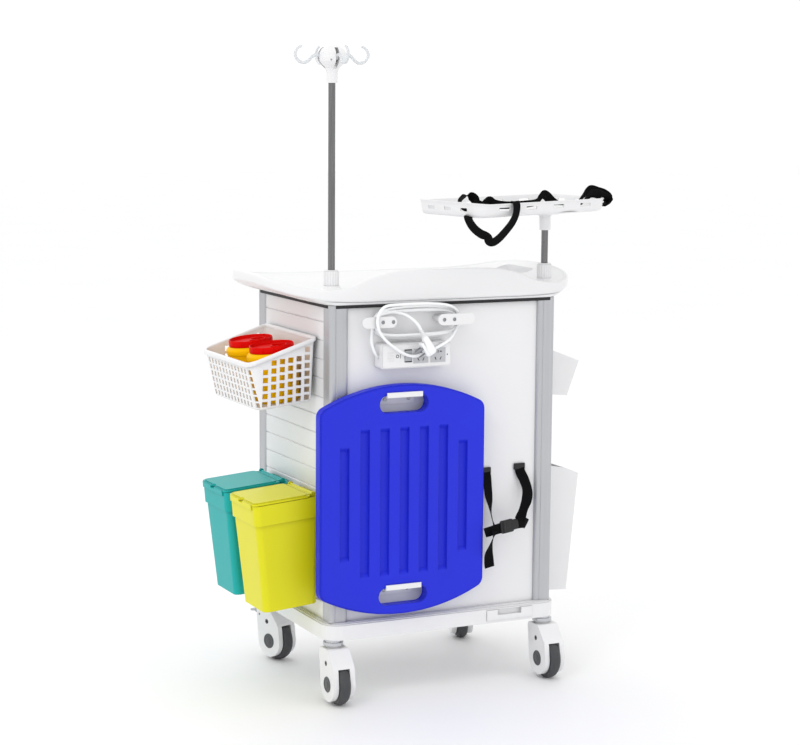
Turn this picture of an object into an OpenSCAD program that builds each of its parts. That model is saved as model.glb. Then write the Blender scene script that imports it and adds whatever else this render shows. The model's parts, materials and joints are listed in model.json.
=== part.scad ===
// Hospital emergency trolley: a drawer cabinet on four casters, with an infusion pole,
// a swivelling defibrillator shelf, a rigid chest-compression board on the back, side bins
// and a basket, and a power strip with its cord wound on two hooks.
// Millimetres, +Z up. The origin is on the floor under the middle of the cabinet.
// The drawers open towards -Y, and the back of the trolley faces +Y.

/* [Cabinet] */
// Width over the corner columns
cabinet_w = 584; // [580:1:588]
// Depth over the corner columns
cabinet_d = 440; // [438:1:442]
// Height of the base's underside above the floor
base_z = 150; // [146:1:154]
// Thickness of the moulded base
base_h = 39; // [37:1:41]
// Height of the corner columns
column_h = 735; // [733:1:737]
// Width of each square corner column
column_w = 46; // [45:1:47]
// Heights of the drawer fronts, from the top one down
drawer_heights = [110, 110, 140, 160, 190];

/* [Casters] */
// Wheel diameter
wheel_d = 100; // [98:1:102]
// Tyre width
tyre_w = 26; // [24:1:27]
// Distance that each wheel trails behind its swivel
trail = 28; // [24:1:32]
// Angle of the front casters' axles at rest
front_caster_turn = 18; // [0:1:30]

/* [Poles] */
// Diameter of the infusion pole and of the shelf post
pole_d = 16; // [15:1:17]
// Height of the infusion pole's top
pole_top = 1440; // [1400:5:1480]
// Height of the bottom of the shelf's sleeve
shelf_z = 1082; // [1070:1:1100]
// Angle of the shelf about its post at rest
shelf_turn = 9; // [-30:1:30]
// Length of the shelf tray
tray_l = 395; // [380:5:410]
// Depth of the shelf tray
tray_d = 240; // [230:5:250]

/* [Board] */
// Width of the chest-compression board
board_w = 419; // [400:1:430]
// Height of the board
board_h = 537; // [530:1:540]
// Thickness of the board
board_t = 26; // [20:1:28]

/* [Containers] */
// Angle at which the bins and the basket lean out
lean = 5; // [3:0.5:6]
// Wall thickness of the plastic containers
wall = 2.5; // [2:0.1:3]

/* [Hidden] */
$fn = 48;

abs_white = [0.95, 0.95, 0.95];
silver = [0.74, 0.75, 0.77];
steel = [0.4, 0.4, 0.41];
rubber = [0.22, 0.22, 0.23];
blue = [0.16, 0.2, 0.8];
yellow = [0.86, 0.84, 0.1];
teal = [0.25, 0.72, 0.68];
webbing = [0.06, 0.06, 0.06];

// A shaft turns or slides in its bore with this radial clearance.
fit = 0.05;
// Two parts that pass each other stay this far apart.
gap = 0.3;

half_w = cabinet_w / 2;
half_d = cabinet_d / 2;
column_z = base_z + base_h;
deck_z = column_z + column_h;
floor_z = deck_z + 33;
inner_w = half_w - column_w;
inner_d = half_d - column_w;
back_y = half_d - 9;
side_x = half_w - 3;
pole_r = pole_d / 2;
pole_x = half_w - 15;
pole_y = half_d - 30;
collar_z = floor_z + 11;
collar_h = 35;

// Casters: place, heading of the axle and name number. 1 and 2 are at the back.
casters = [
    [half_w - 15, half_d - 14, 0],
    [-half_w + 15, half_d - 14, 0],
    [half_w - 26, -half_d + 10, front_caster_turn],
    [-half_w + 26, -half_d + 10, -front_caster_turn]];
wheel_r = wheel_d / 2;
fork_w = 54;
race_h = 14;
stem_r = 6;

// ---------- Shared shapes ----------

module rounded_rect(w, d, r) {
    union() {
        square([w - 2 * r, d], center = true);
        square([w, d - 2 * r], center = true);
        for (sx = [-1, 1], sy = [-1, 1])
            translate([sx * (w / 2 - r), sy * (d / 2 - r)]) circle(r);
    }
}

module slab(w, d, r, h) {
    linear_extrude(height = h) rounded_rect(w, d, r);
}

// A rounded bar that lies along X, with its flat faces towards Y.
module stadium_y(x0, x1, z0, z1, y0, y1) {
    translate([(x0 + x1) / 2, y1, (z0 + z1) / 2]) rotate([90, 0, 0])
        slab(x1 - x0, z1 - z0, (z1 - z0) / 2 - 0.01, y1 - y0);
}

function spline_at(p0, p1, p2, p3, t) =
    0.5 * (2 * p1 + (p2 - p0) * t + (2 * p0 - 5 * p1 + 4 * p2 - p3) * t * t
        + (3 * p1 - p0 - 3 * p2 + p3) * t * t * t);

function smooth_loop(p, n) = let (m = len(p))
    [for (i = [0:m - 1], k = [0:n - 1])
        spline_at(p[(i + m - 1) % m], p[i], p[(i + 1) % m], p[(i + 2) % m], k / n)];

function smooth_line(p, n) = let (m = len(p))
    concat([for (i = [0:m - 2], k = [0:n - 1])
        spline_at(p[max(i - 1, 0)], p[i], p[i + 1], p[min(i + 2, m - 1)], k / n)], [p[m - 1]]);

function unit(v) = v / norm(v);
function tangent(p, i) = unit(p[min(i + 1, len(p) - 1)] - p[max(i - 1, 0)]);

// Joins rings of equal size into a closed skin with a cap at each end.
module loft(rings) {
    sides = len(rings[0]);
    last = len(rings) - 1;
    points = [for (r = rings, p = r) p];
    skin = [for (i = [0:last - 1], j = [0:sides - 1])
        let (a = i * sides + j, b = i * sides + (j + 1) % sides) [a, b, b + sides, a + sides]];
    split = [for (q = skin, t = [[q[0], q[1], q[2]], [q[0], q[2], q[3]]]) t];
    caps = [[for (j = [sides - 1:-1:0]) j], [for (j = [0:sides - 1]) last * sides + j]];
    polyhedron(points, concat(split, caps), convexity = 10);
}

// A round tube along a line of points that never runs straight along Y.
module tube(route, d, n) {
    line = smooth_line(route, n);
    loft([for (i = [0:len(line) - 1])
        let (t = tangent(line, i), a = unit(cross(t, [0, 1, 0])), b = cross(a, t))
        [for (k = [0:7]) line[i] + d / 2 * (cos(45 * k) * a + sin(45 * k) * b)]]);
}

// A flat band along a line of points, each with the direction of the band's width.
module band(route, w, t, n) {
    line = smooth_line([for (r = route) r[0]], n);
    across = smooth_line([for (r = route) r[1]], n);
    loft([for (i = [0:len(line) - 1])
        let (s = unit(across[i]), f = unit(cross(tangent(line, i), s)))
        [line[i] - s * w / 2 - f * t / 2, line[i] - s * w / 2 + f * t / 2,
            line[i] + s * w / 2 + f * t / 2, line[i] + s * w / 2 - f * t / 2]]);
}

// ---------- Base, columns and panels ----------

module base_tray() {
    color(abs_white) difference() {
        union() {
            translate([0, 0, base_z]) slab(cabinet_w + 26, cabinet_d + 30, 42, base_h - 5);
            translate([0, 0, column_z - 5]) slab(cabinet_w + 20, cabinet_d + 24, 40, 3);
            translate([0, 0, column_z - 2]) slab(cabinet_w + 10, cabinet_d + 14, 36, 2);
        }
        for (c = casters)
            translate([c[0], c[1], base_z - 1]) cylinder(r = stem_r + fit, h = 27);
        translate([support_x - support_w / 2 - 0.5, half_d - 130, base_z + 6])
            cube([support_w + 1, 160, 26]);
    }
}

// The infusion pole and the shelf post run down inside the two rear columns.
module corner_columns() {
    bores = [[pole_x, pole_y, 390], [-pole_x, pole_y, 680]];
    color(silver) difference() {
        for (sx = [-1, 1], sy = [-1, 1])
            translate([sx * (half_w - column_w / 2), sy * (half_d - column_w / 2), column_z])
                difference() {
                    slab(column_w, column_w, 9, column_h);
                    for (a = [0, 90]) rotate([0, 0, a]) for (s = [-1, 1])
                        translate([s * column_w / 2, -9, -1])
                            rotate([0, 0, 45]) cube([1.6, 1.6, 3 * column_h], center = true);
                }
        for (b = bores)
            translate([b[0], b[1], b[2]]) cylinder(r = pole_r + fit, h = deck_z - b[2] + 1);
    }
}

module side_panel(sx) {
    plank = 43.5;
    color(abs_white) difference() {
        translate([sx > 0 ? side_x - 8 : -side_x, -inner_d, column_z])
            cube([8, 2 * inner_d, column_h]);
        for (i = [1:16])
            translate([sx * side_x, 0, column_z + i * plank - 2]) rotate([0, 45, 0])
                cube([3, 3 * inner_d, 3], center = true);
    }
}
module side_panel_right() { side_panel(1); }
module side_panel_left() { side_panel(-1); }

module back_panel() {
    color(abs_white) translate([-inner_w, back_y - 6, column_z]) cube([2 * inner_w, 6, column_h]);
}

// ---------- Drawers ----------

drawer_gap = 3;
rail_h = 8;
function drawer_top(i) = deck_z - 2.5 - (i == 0 ? 0 : sum_heights(i - 1) + i * drawer_gap);
function sum_heights(i) = drawer_heights[i] + (i == 0 ? 0 : sum_heights(i - 1));
function drawer_bottom(i) = drawer_top(i) - drawer_heights[i];
runner_z = 22;
box_w = 2 * inner_w - 44;
front_y = -half_d - 2;

module cabinet_frame() {
    color(silver) union() {
        translate([-inner_w, -half_d + 19, column_z]) cube([2 * inner_w, cabinet_d - 35, 2]);
        for (sx = [-1, 1]) {
            translate([sx > 0 ? inner_w - 8 : -inner_w, -half_d + 19, column_z])
                cube([8, cabinet_d - 35, column_h]);
            for (i = [0:4])
                translate([sx * (inner_w - 13) - 5.5, -half_d + 19, drawer_bottom(i) + runner_z])
                    cube([11, cabinet_d - 45, rail_h]);
        }
    }
}

module drawer(i) {
    h = drawer_heights[i];
    z0 = drawer_bottom(i);
    flange_z = z0 + runner_z + rail_h + gap;
    difference() {
        union() {
            color(abs_white) translate([-inner_w + 3, front_y, z0])
                cube([2 * inner_w - 6, 18, h]);
            color(silver) {
                translate([-box_w / 2, front_y + 18, z0 + 8]) cube([box_w, cabinet_d - 50, h - 24]);
                for (sx = [-1, 1])
                    translate([sx > 0 ? box_w / 2 - 1 : -inner_w + 8 + gap,
                            front_y + 18, flange_z])
                        cube([inner_w - 8 - gap - box_w / 2 + 1, cabinet_d - 50, 5]);
            }
            color(silver) translate([0, front_y, z0 + h - 26]) rotate([90, 0, 0])
                linear_extrude(height = 24) rounded_rect(150, 20, 6);
        }
        translate([-box_w / 2 + 2, front_y + 20, z0 + 10]) cube([box_w - 4, cabinet_d - 54, h]);
        translate([-72, front_y - 20, z0 + h - 37]) cube([144, 20, 16]);
        if (i == 0)
            translate([lock_x, front_y - 1, lock_z]) rotate([-90, 0, 0])
                cylinder(r = 11 + fit, h = 30);
    }
}
module drawer_1() { drawer(0); }
module drawer_2() { drawer(1); }
module drawer_3() { drawer(2); }
module drawer_4() { drawer(3); }
module drawer_5() { drawer(4); }

lock_x = inner_w - 50;
lock_z = drawer_top(0) - 30;

// The barrel turns in the top drawer's front, and its cam reaches behind it.
module central_lock() {
    color(silver) translate([lock_x, front_y, lock_z]) rotate([-90, 0, 0]) difference() {
        union() {
            translate([0, 0, -4]) cylinder(r = 14, h = 3.7);
            translate([0, 0, -1]) cylinder(r = 11, h = 19);
        }
        translate([-1.25, -5, -5]) cube([2.5, 10, 8]);
    }
}

// ---------- Worktop ----------

// Half of the rim seen from above, from the middle of the back round to the middle of the
// front: x, y, height of the rim's top and height of its outer underside.
rim_half = [
    [0, 228, 1001, 931], [75, 228, 1001, 931], [140, 228, 997, 931], [195, 228, 984, 931],
    [245, 226, 964, 932], [288, 219, 959, 934], [315, 197, 960, 938], [345, 160, 965, 944],
    [368, 120, 970, 951], [380, 75, 976, 957], [384, 0, 981, 961], [384, -80, 981, 961],
    [376, -150, 974, 954], [352, -205, 965, 944], [300, -242, 960, 936],
    [220, -256, 958, 932], [110, -262, 958, 931]];
rim_front = [0, -263, 958, 931];
rim = smooth_loop(concat(rim_half, [rim_front],
    [for (i = [len(rim_half) - 1:-1:1]) [-rim_half[i][0], rim_half[i][1], rim_half[i][2],
        rim_half[i][3]]]), 3);
rim_n = len(rim);

function outward(i) = let (t = rim[(i + 1) % rim_n] - rim[(i + rim_n - 1) % rim_n])
    unit([-t[1], t[0]]);
// The point of a box with rounded corners that lies nearest to a point of the rim.
function core(p, w, d, r) = let (
    inside = [max(-w / 2 + r, min(w / 2 - r, p[0])), max(-d / 2 + r, min(d / 2 - r, p[1]))],
    away = [p[0], p[1]] - inside)
    inside + r * unit(away);
function rim_point(i, inset, z) = let (p = [rim[i][0], rim[i][1]] + inset * outward(i))
    [p[0], p[1], z];
function between(i, w, d, r, share, z) = let (
    c = core(rim[i], w, d, r),
    p = c + share * ([rim[i][0], rim[i][1]] - c)) [p[0], p[1], z];

module worktop_shell() {
    under_w = cabinet_w + 4;
    under_d = cabinet_d + 4;
    floor_w = cabinet_w - 14;
    floor_d = cabinet_d - 22;
    every = [for (i = [0:rim_n - 1]) i];
    loft([
        [for (i = every) between(i, under_w - 60, under_d - 60, 8, 0, deck_z)],
        [for (i = every) between(i, under_w, under_d, 22, 0, deck_z)],
        [for (i = every) between(i, under_w, under_d, 22, 0.55, deck_z + 0.5 * (rim[i][3] - deck_z))],
        [for (i = every) between(i, under_w, under_d, 22, 0.93, rim[i][3] - 2)],
        [for (i = every) rim_point(i, 0, rim[i][3] + 5)],
        [for (i = every) rim_point(i, 0, rim[i][2] - 5)],
        [for (i = every) rim_point(i, -1.5, rim[i][2] - 1.5)],
        [for (i = every) rim_point(i, -5, rim[i][2])],
        [for (i = every) rim_point(i, -8.5, rim[i][2] - 1.5)],
        [for (i = every) between(i, floor_w, floor_d, 30, 0.3,
            floor_z + 0.28 * (rim[i][2] - floor_z))],
        [for (i = every) between(i, floor_w, floor_d, 30, 0.1, floor_z + 0.5)],
        [for (i = every) between(i, floor_w - 40, floor_d - 40, 24, 0, floor_z)]]);
}

hand_hole_x = 333;
hand_hole_y = -59.3;
boss_r = 19.2;
boss_turn = 3;
// resize() with no size given keeps the size: it only makes the moulding one faceted shell.
module worktop() {
    color(abs_white) difference() {
        resize([0, 0, 0]) difference() {
            union() {
                worktop_shell();
                for (x = [-pole_x, pole_x])
                    translate([x, pole_y, deck_z + 10]) rotate([0, 0, boss_turn])
                        cylinder(r = boss_r, h = collar_z - deck_z - 10);
            }
            for (sx = [-1, 1])
                translate([sx * hand_hole_x, hand_hole_y, deck_z]) slab(38, 150, 18.9, 90);
        }
        for (x = [-pole_x, pole_x])
            translate([x, pole_y, deck_z - 1]) cylinder(r = pole_r + 0.5, h = 80);
    }
}

// ---------- Power strip, hooks and cord ----------

hook_z = 886;
hook_y = half_d + 32;
// Inner and outer ends of each hook's plate, then of its boss.
hook_spans = [[143, 229, 145, 180], [-58, 37, -6, 29]];
hook_screws = [152, 178, -4, 22];

module cord_hooks() {
    color(abs_white) difference() {
        for (s = hook_spans) {
            stadium_y(s[0], s[1], hook_z - 13, hook_z + 13, hook_y, hook_y + 5);
            stadium_y(s[2], s[3], hook_z - 7, hook_z + 7, back_y, hook_y + 1);
        }
        for (x = hook_screws)
            translate([x, hook_y + 2, hook_z]) rotate([-90, 0, 0]) cylinder(r = 4.5, h = 4);
    }
}

strip_x0 = 1;
strip_x1 = 178;
strip_z0 = 778;
strip_z1 = 834;
strip_y = half_d + 31;
rocker_x = 111;
rocker_z = 806;

module outlet_slots(x, z) {
    for (dx = [-1, 1])
        translate([x + dx * 7, strip_y - 3, z + 8]) cube([5.5, 8, 2.6], center = true);
    translate([x, strip_y - 3, z + 8]) cube([2.2, 8, 6], center = true);
    for (dx = [-1, 1])
        translate([x + dx * 6.5, strip_y - 3, z - 8]) rotate([0, dx * 28, 0])
            cube([2.2, 8, 7.5], center = true);
}

module power_strip() {
    color(abs_white) difference() {
        union() {
            translate([strip_x0, back_y, strip_z0]) rotate([90, 0, 0]) mirror([0, 0, 1])
                translate([(strip_x1 - strip_x0) / 2, (strip_z1 - strip_z0) / 2, 0]) {
                    slab(strip_x1 - strip_x0, strip_z1 - strip_z0, 5, strip_y - back_y - 2);
                    slab(strip_x1 - strip_x0 - 5, strip_z1 - strip_z0 - 5, 4, strip_y - back_y);
                }
            for (k = [0:3])
                translate([148, strip_y - 0.5, 795 + 6 * k]) cube([15, 1, 1.8]);
            color(silver) for (x = [79, 35])
                translate([x - 19, strip_y - 1, 788]) cube([38, 1.8, 34]);
            color(silver) translate([strip_x1 - 2, 231, 805]) rotate([0, 90, 0])
                cylinder(r = 5, h = 4);
        }
        for (x = [79, 35]) outlet_slots(x, 805);
        translate([rocker_x - 9.5, strip_y - 12, rocker_z - 15]) cube([19, 14, 30]);
        translate([11, strip_y - 2, 805]) rotate([-90, 0, 0]) cylinder(r = 1.6, h = 4);
    }
}

// The rocker turns on its own pin, which the housing holds only by the recess round it.
module rocker_switch() {
    color([0.6, 0.6, 0.6]) translate([rocker_x, strip_y - 4, rocker_z]) rotate([0, 90, 0]) union() {
        linear_extrude(height = 17, center = true)
            polygon([[-12, -5], [12, -5], [12.5, 3.5], [0, 5.5], [-12.5, 7]]);
        cylinder(r = 2, h = 18.4, center = true);
    }
}

cord_d = 7;
coil_y0 = 216;
coil_y1 = 240;

// The wound turns together: one ring that hangs on both bosses behind the plates.
module cord_coil() {
    color(abs_white) translate([87, coil_y1, 0]) rotate([90, 0, 0]) linear_extrude(height = coil_y1 - coil_y0)
        difference() {
            translate([0, 878.5]) rounded_rect(242, 85, 42);
            translate([0, 876.5]) rounded_rect(198, 38, 18.9);
        }
}

// Routes of the three stretches that aren't wound.
lead_route = [[180, 231, 805], [186, 233, 812], [193, 234, 826], [198, 233, 846], [199, 230, 862]];
front_route = [[-12, 238, 852], [4, 254, 841], [32, 258, 827], [60, 257.5, 815], [88, 257, 806],
    [108, 259, 806], [130, 262, 814], [152, 264, 828], [173, 264, 844], [188, 264, 862],
    [195, 264, 880], [195, 263, 896], [188, 261, 911], [175, 256, 921], [156, 249, 924],
    [138, 242, 918], [124, 238, 911]];
tail_route = [[124, 238, 903], [117, 248, 900], [108, 263, 892], [99, 271, 882], [93, 273, 872]];

module cord_lead() { color(abs_white) tube(lead_route, cord_d, 3); }
module cord_front_turn() { color(abs_white) tube(front_route, cord_d, 2); }
module cord_tail() { color(abs_white) tube(tail_route, cord_d, 2); }

// The plug's own frame has the cord coming in along +Z and the pins pointing towards +X.
module mains_plug() {
    translate([92, 273, 870]) rotate([0, 30, 0]) {
        color(abs_white) {
            rotate([180, 0, 0]) cylinder(r1 = 4, r2 = 6.5, h = 22);
            translate([3, 0, -66]) slab(30, 21, 6, 46);
        }
        color(silver) for (k = [[-7, 5], [7, 5], [0, -5]])
            translate([16, k[1] - 0.8, -45 + k[0] - 3]) cube([19, 1.6, 6.3]);
    }
}

// ---------- Board and its hooks ----------

board_x = 122.5;
board_z = 204;
board_y = back_y + 19;
slot_w = 124;
slot_h = 42;
slot_low = 227;
slot_high = 676;

module board_outline() {
    r = 441;
    offset(r = 24) offset(delta = -24) intersection() {
        translate([-board_w / 2, 0]) square([board_w, board_h]);
        translate([0, board_h - r]) circle(r, $fn = 180);
        translate([0, r]) circle(r, $fn = 180);
    }
}

module groove(x, z0, z1, w) {
    depth = 9;
    translate([x - w / 2, board_y + board_t, 0]) rotate([90, 0, 90]) linear_extrude(height = w)
        polygon([[1, z0 - 1], [1, z1 + 1], [-depth, z1 - 9], [-depth, z0 + 9]]);
}

module cpr_board() {
    color(blue) difference() {
        union() {
            translate([board_x, board_y + board_t - 3, board_z]) rotate([90, 0, 0])
                linear_extrude(height = board_t - 3) board_outline();
            translate([board_x, board_y + board_t, board_z]) rotate([90, 0, 0])
                linear_extrude(height = 4) offset(delta = -3) board_outline();
        }
        for (z = [slot_low, slot_high])
            translate([board_x, board_y + board_t + 1, z + slot_h / 2]) rotate([90, 0, 0])
                slab(slot_w, slot_h, 20.9, board_t + 2);
        for (k = [-2:2]) groove(board_x - 2 + 50 * k, 298, 642, 23);
        for (s = [-1, 1]) {
            groove(board_x - 2 + s * 151, 340, 603, 23);
            groove(board_x - 2 + s * 106, s < 0 ? 298 : 322, s < 0 ? 322 : 642, 11);
        }
    }
}

// Two brackets on the back panel reach through the board's slots and turn up in front.
module board_hooks() {
    lip_y = board_y + board_t + 2;
    color(abs_white) for (z = [slot_low, slot_high]) {
        top = z + slot_h - 0.8;
        translate([board_x - 45, back_y, top - 26]) cube([90, 3, 26]);
        translate([board_x - 45, back_y + 1, top - 5]) cube([90, lip_y + 3 - back_y - 1, 5]);
        translate([board_x - 45, lip_y, top - 5]) cube([90, 3, 12]);
    }
}

module panel_screws() {
    color(steel) {
        for (z = [slot_low, slot_high], dx = [-30, 30])
            translate([board_x + dx, back_y + 3, z + slot_h - 16]) rotate([-90, 0, 0])
                cylinder(r = 4, h = 2);
        for (x = hook_screws)
            translate([x, hook_y + 2, hook_z]) rotate([-90, 0, 0]) cylinder(r = 3.6, h = 1.6);
    }
}

// ---------- Oxygen cylinder strap and support ----------

strap_w = 25;
side = [1, 0, 0];
up = [0, 0, 1];
left_leg = [[[-112, back_y + 2, 517], side], [[-112, back_y + 8, 490], side],
    [[-110, back_y + 22, 460], [1, 0.4, 0]], [[-106, back_y + 42, 425], [1, 0.5, 0.6]],
    [[-108, back_y + 56, 396], [0.6, 0.2, 1]]];
right_leg = [[[-204, back_y + 2, 517], side], [[-206, back_y + 12, 495], [1, -0.3, 0]],
    [[-200, back_y + 30, 465], [1, -0.5, 0.3]], [[-190, back_y + 48, 430], [0.8, -0.3, 0.8]],
    [[-176, back_y + 58, 400], [0.3, 0, 1]]];
crossing = [[[-92, back_y + 56, 388], up], [[-130, back_y + 62, 391], up],
    [[-165, back_y + 62, 392], up], [[-194, back_y + 56, 388], up]];
tail_end = [[[-112, back_y + 64, 380], [1, 0, 0.4]], [[-106, back_y + 58, 355], [1, 0.3, 0]],
    [[-103, back_y + 50, 325], side], [[-108, back_y + 42, 291], side]];

module cylinder_strap() {
    color(webbing) resize([0, 0, 0]) union() {
        for (x = [-112, -204])
            translate([x - 15, back_y, 510]) cube([30, 4.5, 14]);
        for (r = [left_leg, right_leg, crossing, tail_end]) band(r, strap_w, 2.2, 3);
        translate([-165, back_y + 57, 374]) cube([34, 10, 36]);
    }
}

support_x = -171;
support_w = 122;
module cylinder_support() {
    color(abs_white) difference() {
        translate([support_x - support_w / 2, half_d - 125, base_z + 6.5])
            cube([support_w, 142, 25]);
        translate([support_x, half_d - 55, base_z + 14]) cylinder(r = 54, h = 40);
        translate([support_x - 32, half_d + 9, base_z + 18]) cube([64, 12, 20]);
    }
}

// ---------- Infusion pole ----------

module fluted_knob(x, y, z) {
    translate([x, y, z]) difference() {
        union() {
            cylinder(r = 17.5, h = collar_h - 3);
            cylinder(r = 15.5, h = collar_h);
        }
        translate([0, 0, -1]) cylinder(r = pole_r + fit, h = collar_h + 2);
        for (a = [0:20:340]) rotate([0, 0, a]) translate([18.1, 0, -1]) cylinder(r = 1.5, h = 50);
    }
}

module iv_collar() { color(abs_white) fluted_knob(pole_x, pole_y, collar_z + gap); }
module shelf_collar() { color(abs_white) fluted_knob(-pole_x, pole_y, collar_z + gap); }

module iv_pole() {
    color(steel) translate([pole_x, pole_y, 700]) cylinder(r = pole_r, h = pole_top - 700);
}

hook_r = 25;
hook_pin_z = pole_top + 40;
module iv_head() {
    color(abs_white) translate([pole_x, pole_y, 0]) difference() {
        rotate_extrude($fn = 64) polygon([[0, pole_top], [pole_r, pole_top], [pole_r, 1423],
            [13, 1423], [13.5, 1447], [17, 1456], [26, 1464], [32, 1471], [33.5, 1479],
            [32, 1490], [27, 1498], [18, 1504], [8, 1507], [0, 1507]]);
        for (a = [0:90:270]) rotate([0, 0, a]) difference() {
            translate([16, -4, 1455]) cube([30, 8, 46]);
            translate([hook_r, 0, hook_pin_z]) rotate([90, 0, 0])
                cylinder(r = 2.5, h = 20, center = true);
        }
        rotate([0, 0, -26]) translate([0, 30, hook_pin_z - 6]) rotate([-90, 0, 0])
            cylinder(r = 2, h = 12);
    }
}

// Each hook pivots on a pin across its slot in the head and ends in an open ring.
module iv_hook(a) {
    color([0.9, 0.93, 0.95]) translate([pole_x, pole_y, hook_pin_z]) rotate([0, 0, a])
        rotate([90, 0, 0]) difference() {
            translate([0, 0, -3.5]) union() {
                translate([hook_r, 0, 0]) cylinder(r = 6, h = 7);
                translate([hook_r, -3, 0]) cube([28, 6, 7]);
                translate([71, 6, 3.5]) rotate([0, 0, 100])
                    rotate_extrude(angle = 300, $fn = 40)
                        translate([18, 0]) square([6, 6], center = true);
            }
            translate([hook_r, 0, -5]) cylinder(r = 2.5 + fit, h = 10);
        }
}
module iv_hook_1() { iv_hook(0); }
module iv_hook_2() { iv_hook(90); }
module iv_hook_3() { iv_hook(180); }
module iv_hook_4() { iv_hook(270); }

// ---------- Defibrillator shelf ----------

post_x = -pole_x;
post_y = pole_y;
tray_z = shelf_z + 46;
rim_h = 27;
// Middle of the tray as seen from its post.
tray_mid = [72.5, -25];

module shelf_post() {
    color(steel) translate([post_x, post_y, 760]) cylinder(r = pole_r, h = shelf_z + 28 - 760);
}

module shelf_tray() {
    color(abs_white) translate([post_x, post_y, 0]) rotate([0, 0, shelf_turn]) difference() {
        union() {
            translate([0, 0, shelf_z]) cylinder(r = 13, h = 38);
            translate([0, 0, shelf_z + 34]) cylinder(r1 = 14, r2 = 92, h = 12);
            translate([tray_mid[0], tray_mid[1], tray_z - 2])
                slab(tray_l - 12, tray_d - 12, 36, 6);
            translate([tray_mid[0], tray_mid[1], tray_z]) slab(tray_l, tray_d, 42, rim_h);
        }
        translate([tray_mid[0], tray_mid[1], tray_z + 4]) slab(tray_l - 7, tray_d - 7, 38.5, rim_h);
        translate([0, 0, shelf_z - 1]) cylinder(r = pole_r + fit, h = 30);
        for (dx = [-120, -40, 40, 120])
            translate([tray_mid[0] + dx, tray_mid[1], tray_z + 17.5])
                cube([30, tray_d + 10, 7], center = true);
        for (dy = [-45, 45])
            translate([tray_mid[0], tray_mid[1] + dy, tray_z + 17.5])
                cube([tray_l + 10, 30, 7], center = true);
    }
}

// Webbing that holds a defibrillator down: one strap along the tray, over its outer end,
// and a loop that hangs below the rear edge.
module tray_straps() {
    edge_y = tray_mid[1] + tray_d / 2;
    end_x = tray_mid[0] - tray_l / 2;
    low = tray_z + 5.5;
    top = tray_z + rim_h + 2;
    depth = [0, 1, 0];
    long_strap = [[[230, 30, low + 2], depth], [[205, 38, low + 14], [0.2, 1, 0.2]],
        [[165, 45, low + 3], depth], [[100, 52, low + 1], depth], [[40, 55, low + 12], [0, 1, 0.2]],
        [[-20, 50, low + 4], depth], [[-70, 42, low + 8], depth],
        [[end_x + 14, 40, top + 4], depth], [[end_x - 5, 40, top + 3], depth],
        [[end_x - 14, 40, top - 14], depth], [[end_x - 6, 42, tray_z - 5], depth],
        [[end_x + 26, 44, tray_z - 7], depth]];
    hanging = [[[222, edge_y + 2, tray_z + 2], side], [[218, edge_y + 6, tray_z - 20], side],
        [[200, edge_y + 14, tray_z - 50], [1, 0.4, 0.3]],
        [[168, edge_y + 20, tray_z - 72], [0.3, 0.5, 1]],
        [[140, edge_y + 18, tray_z - 66], [-0.5, 0.3, 1]],
        [[112, edge_y + 10, tray_z - 35], [-1, 0, 0.5]],
        [[104, edge_y + 4, tray_z - 5], [-1, 0, 0]], [[104, edge_y + 3, tray_z + 14], [-1, 0, 0]]];
    color(webbing) translate([post_x, post_y, 0]) rotate([0, 0, shelf_turn]) union() {
        band(long_strap, 22, 2, 3);
        band(hanging, 20, 2, 3);
    }
}

// ---------- Containers on the sides ----------

basket_y = [-155, 146];
basket_z = 844;
bin_z = 483;
bin_depth = 166;
yellow_y = [25, 185];
teal_y = [-159, 1];
box_y = [-130, 150];
upper_box_z = 797;
lower_box_z = 508;

// A hanging rail: a flat bar that two blocks hold off the panel.
module hanging_rail(sx, y0, y1, z) {
    translate([sx > 0 ? side_x + 4 : -side_x - 6, y0, z - 24]) cube([2, y1 - y0, 17]);
    for (y = [y0, y1 - 12])
        translate([sx > 0 ? side_x : -side_x - 6, y, z - 24]) cube([6, 12, 10]);
}

module container_rails() {
    color(silver) {
        hanging_rail(1, basket_y[0] + 30, basket_y[1] - 30, basket_z);
        hanging_rail(1, yellow_y[0] + 12, yellow_y[1] - 12, bin_z);
        hanging_rail(1, teal_y[0] + 12, teal_y[1] - 12, bin_z);
        hanging_rail(-1, box_y[0] + 30, box_y[1] - 30, upper_box_z);
        hanging_rail(-1, box_y[0] + 30, box_y[1] - 30, lower_box_z);
    }
}

// The tongue of a container: it drops behind the rail from a bridge at the top.
module hook_over(sx, y0, y1, z) {
    translate([sx > 0 ? side_x + 1 : -side_x - 3.3, y0, z - 18]) cube([2.3, y1 - y0, 14]);
    translate([sx > 0 ? side_x + 1 : -side_x - 12, y0, z - 6]) cube([11, y1 - y0, 4]);
}

// An open shell in its own frame: the rim's back edge lies along Y at the origin.
module bin_shape(w, bottom_in, bottom_w, d, h, inset) {
    shrink = 2 * inset;
    hull() {
        translate([w / 2, 0, -0.2]) slab(w - shrink, d - shrink, 14 - inset, 0.2);
        translate([bottom_in + bottom_w / 2, 0, -h + inset])
            slab(bottom_w - shrink, d - 20 - shrink, 16 - inset, 0.2);
    }
}

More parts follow.
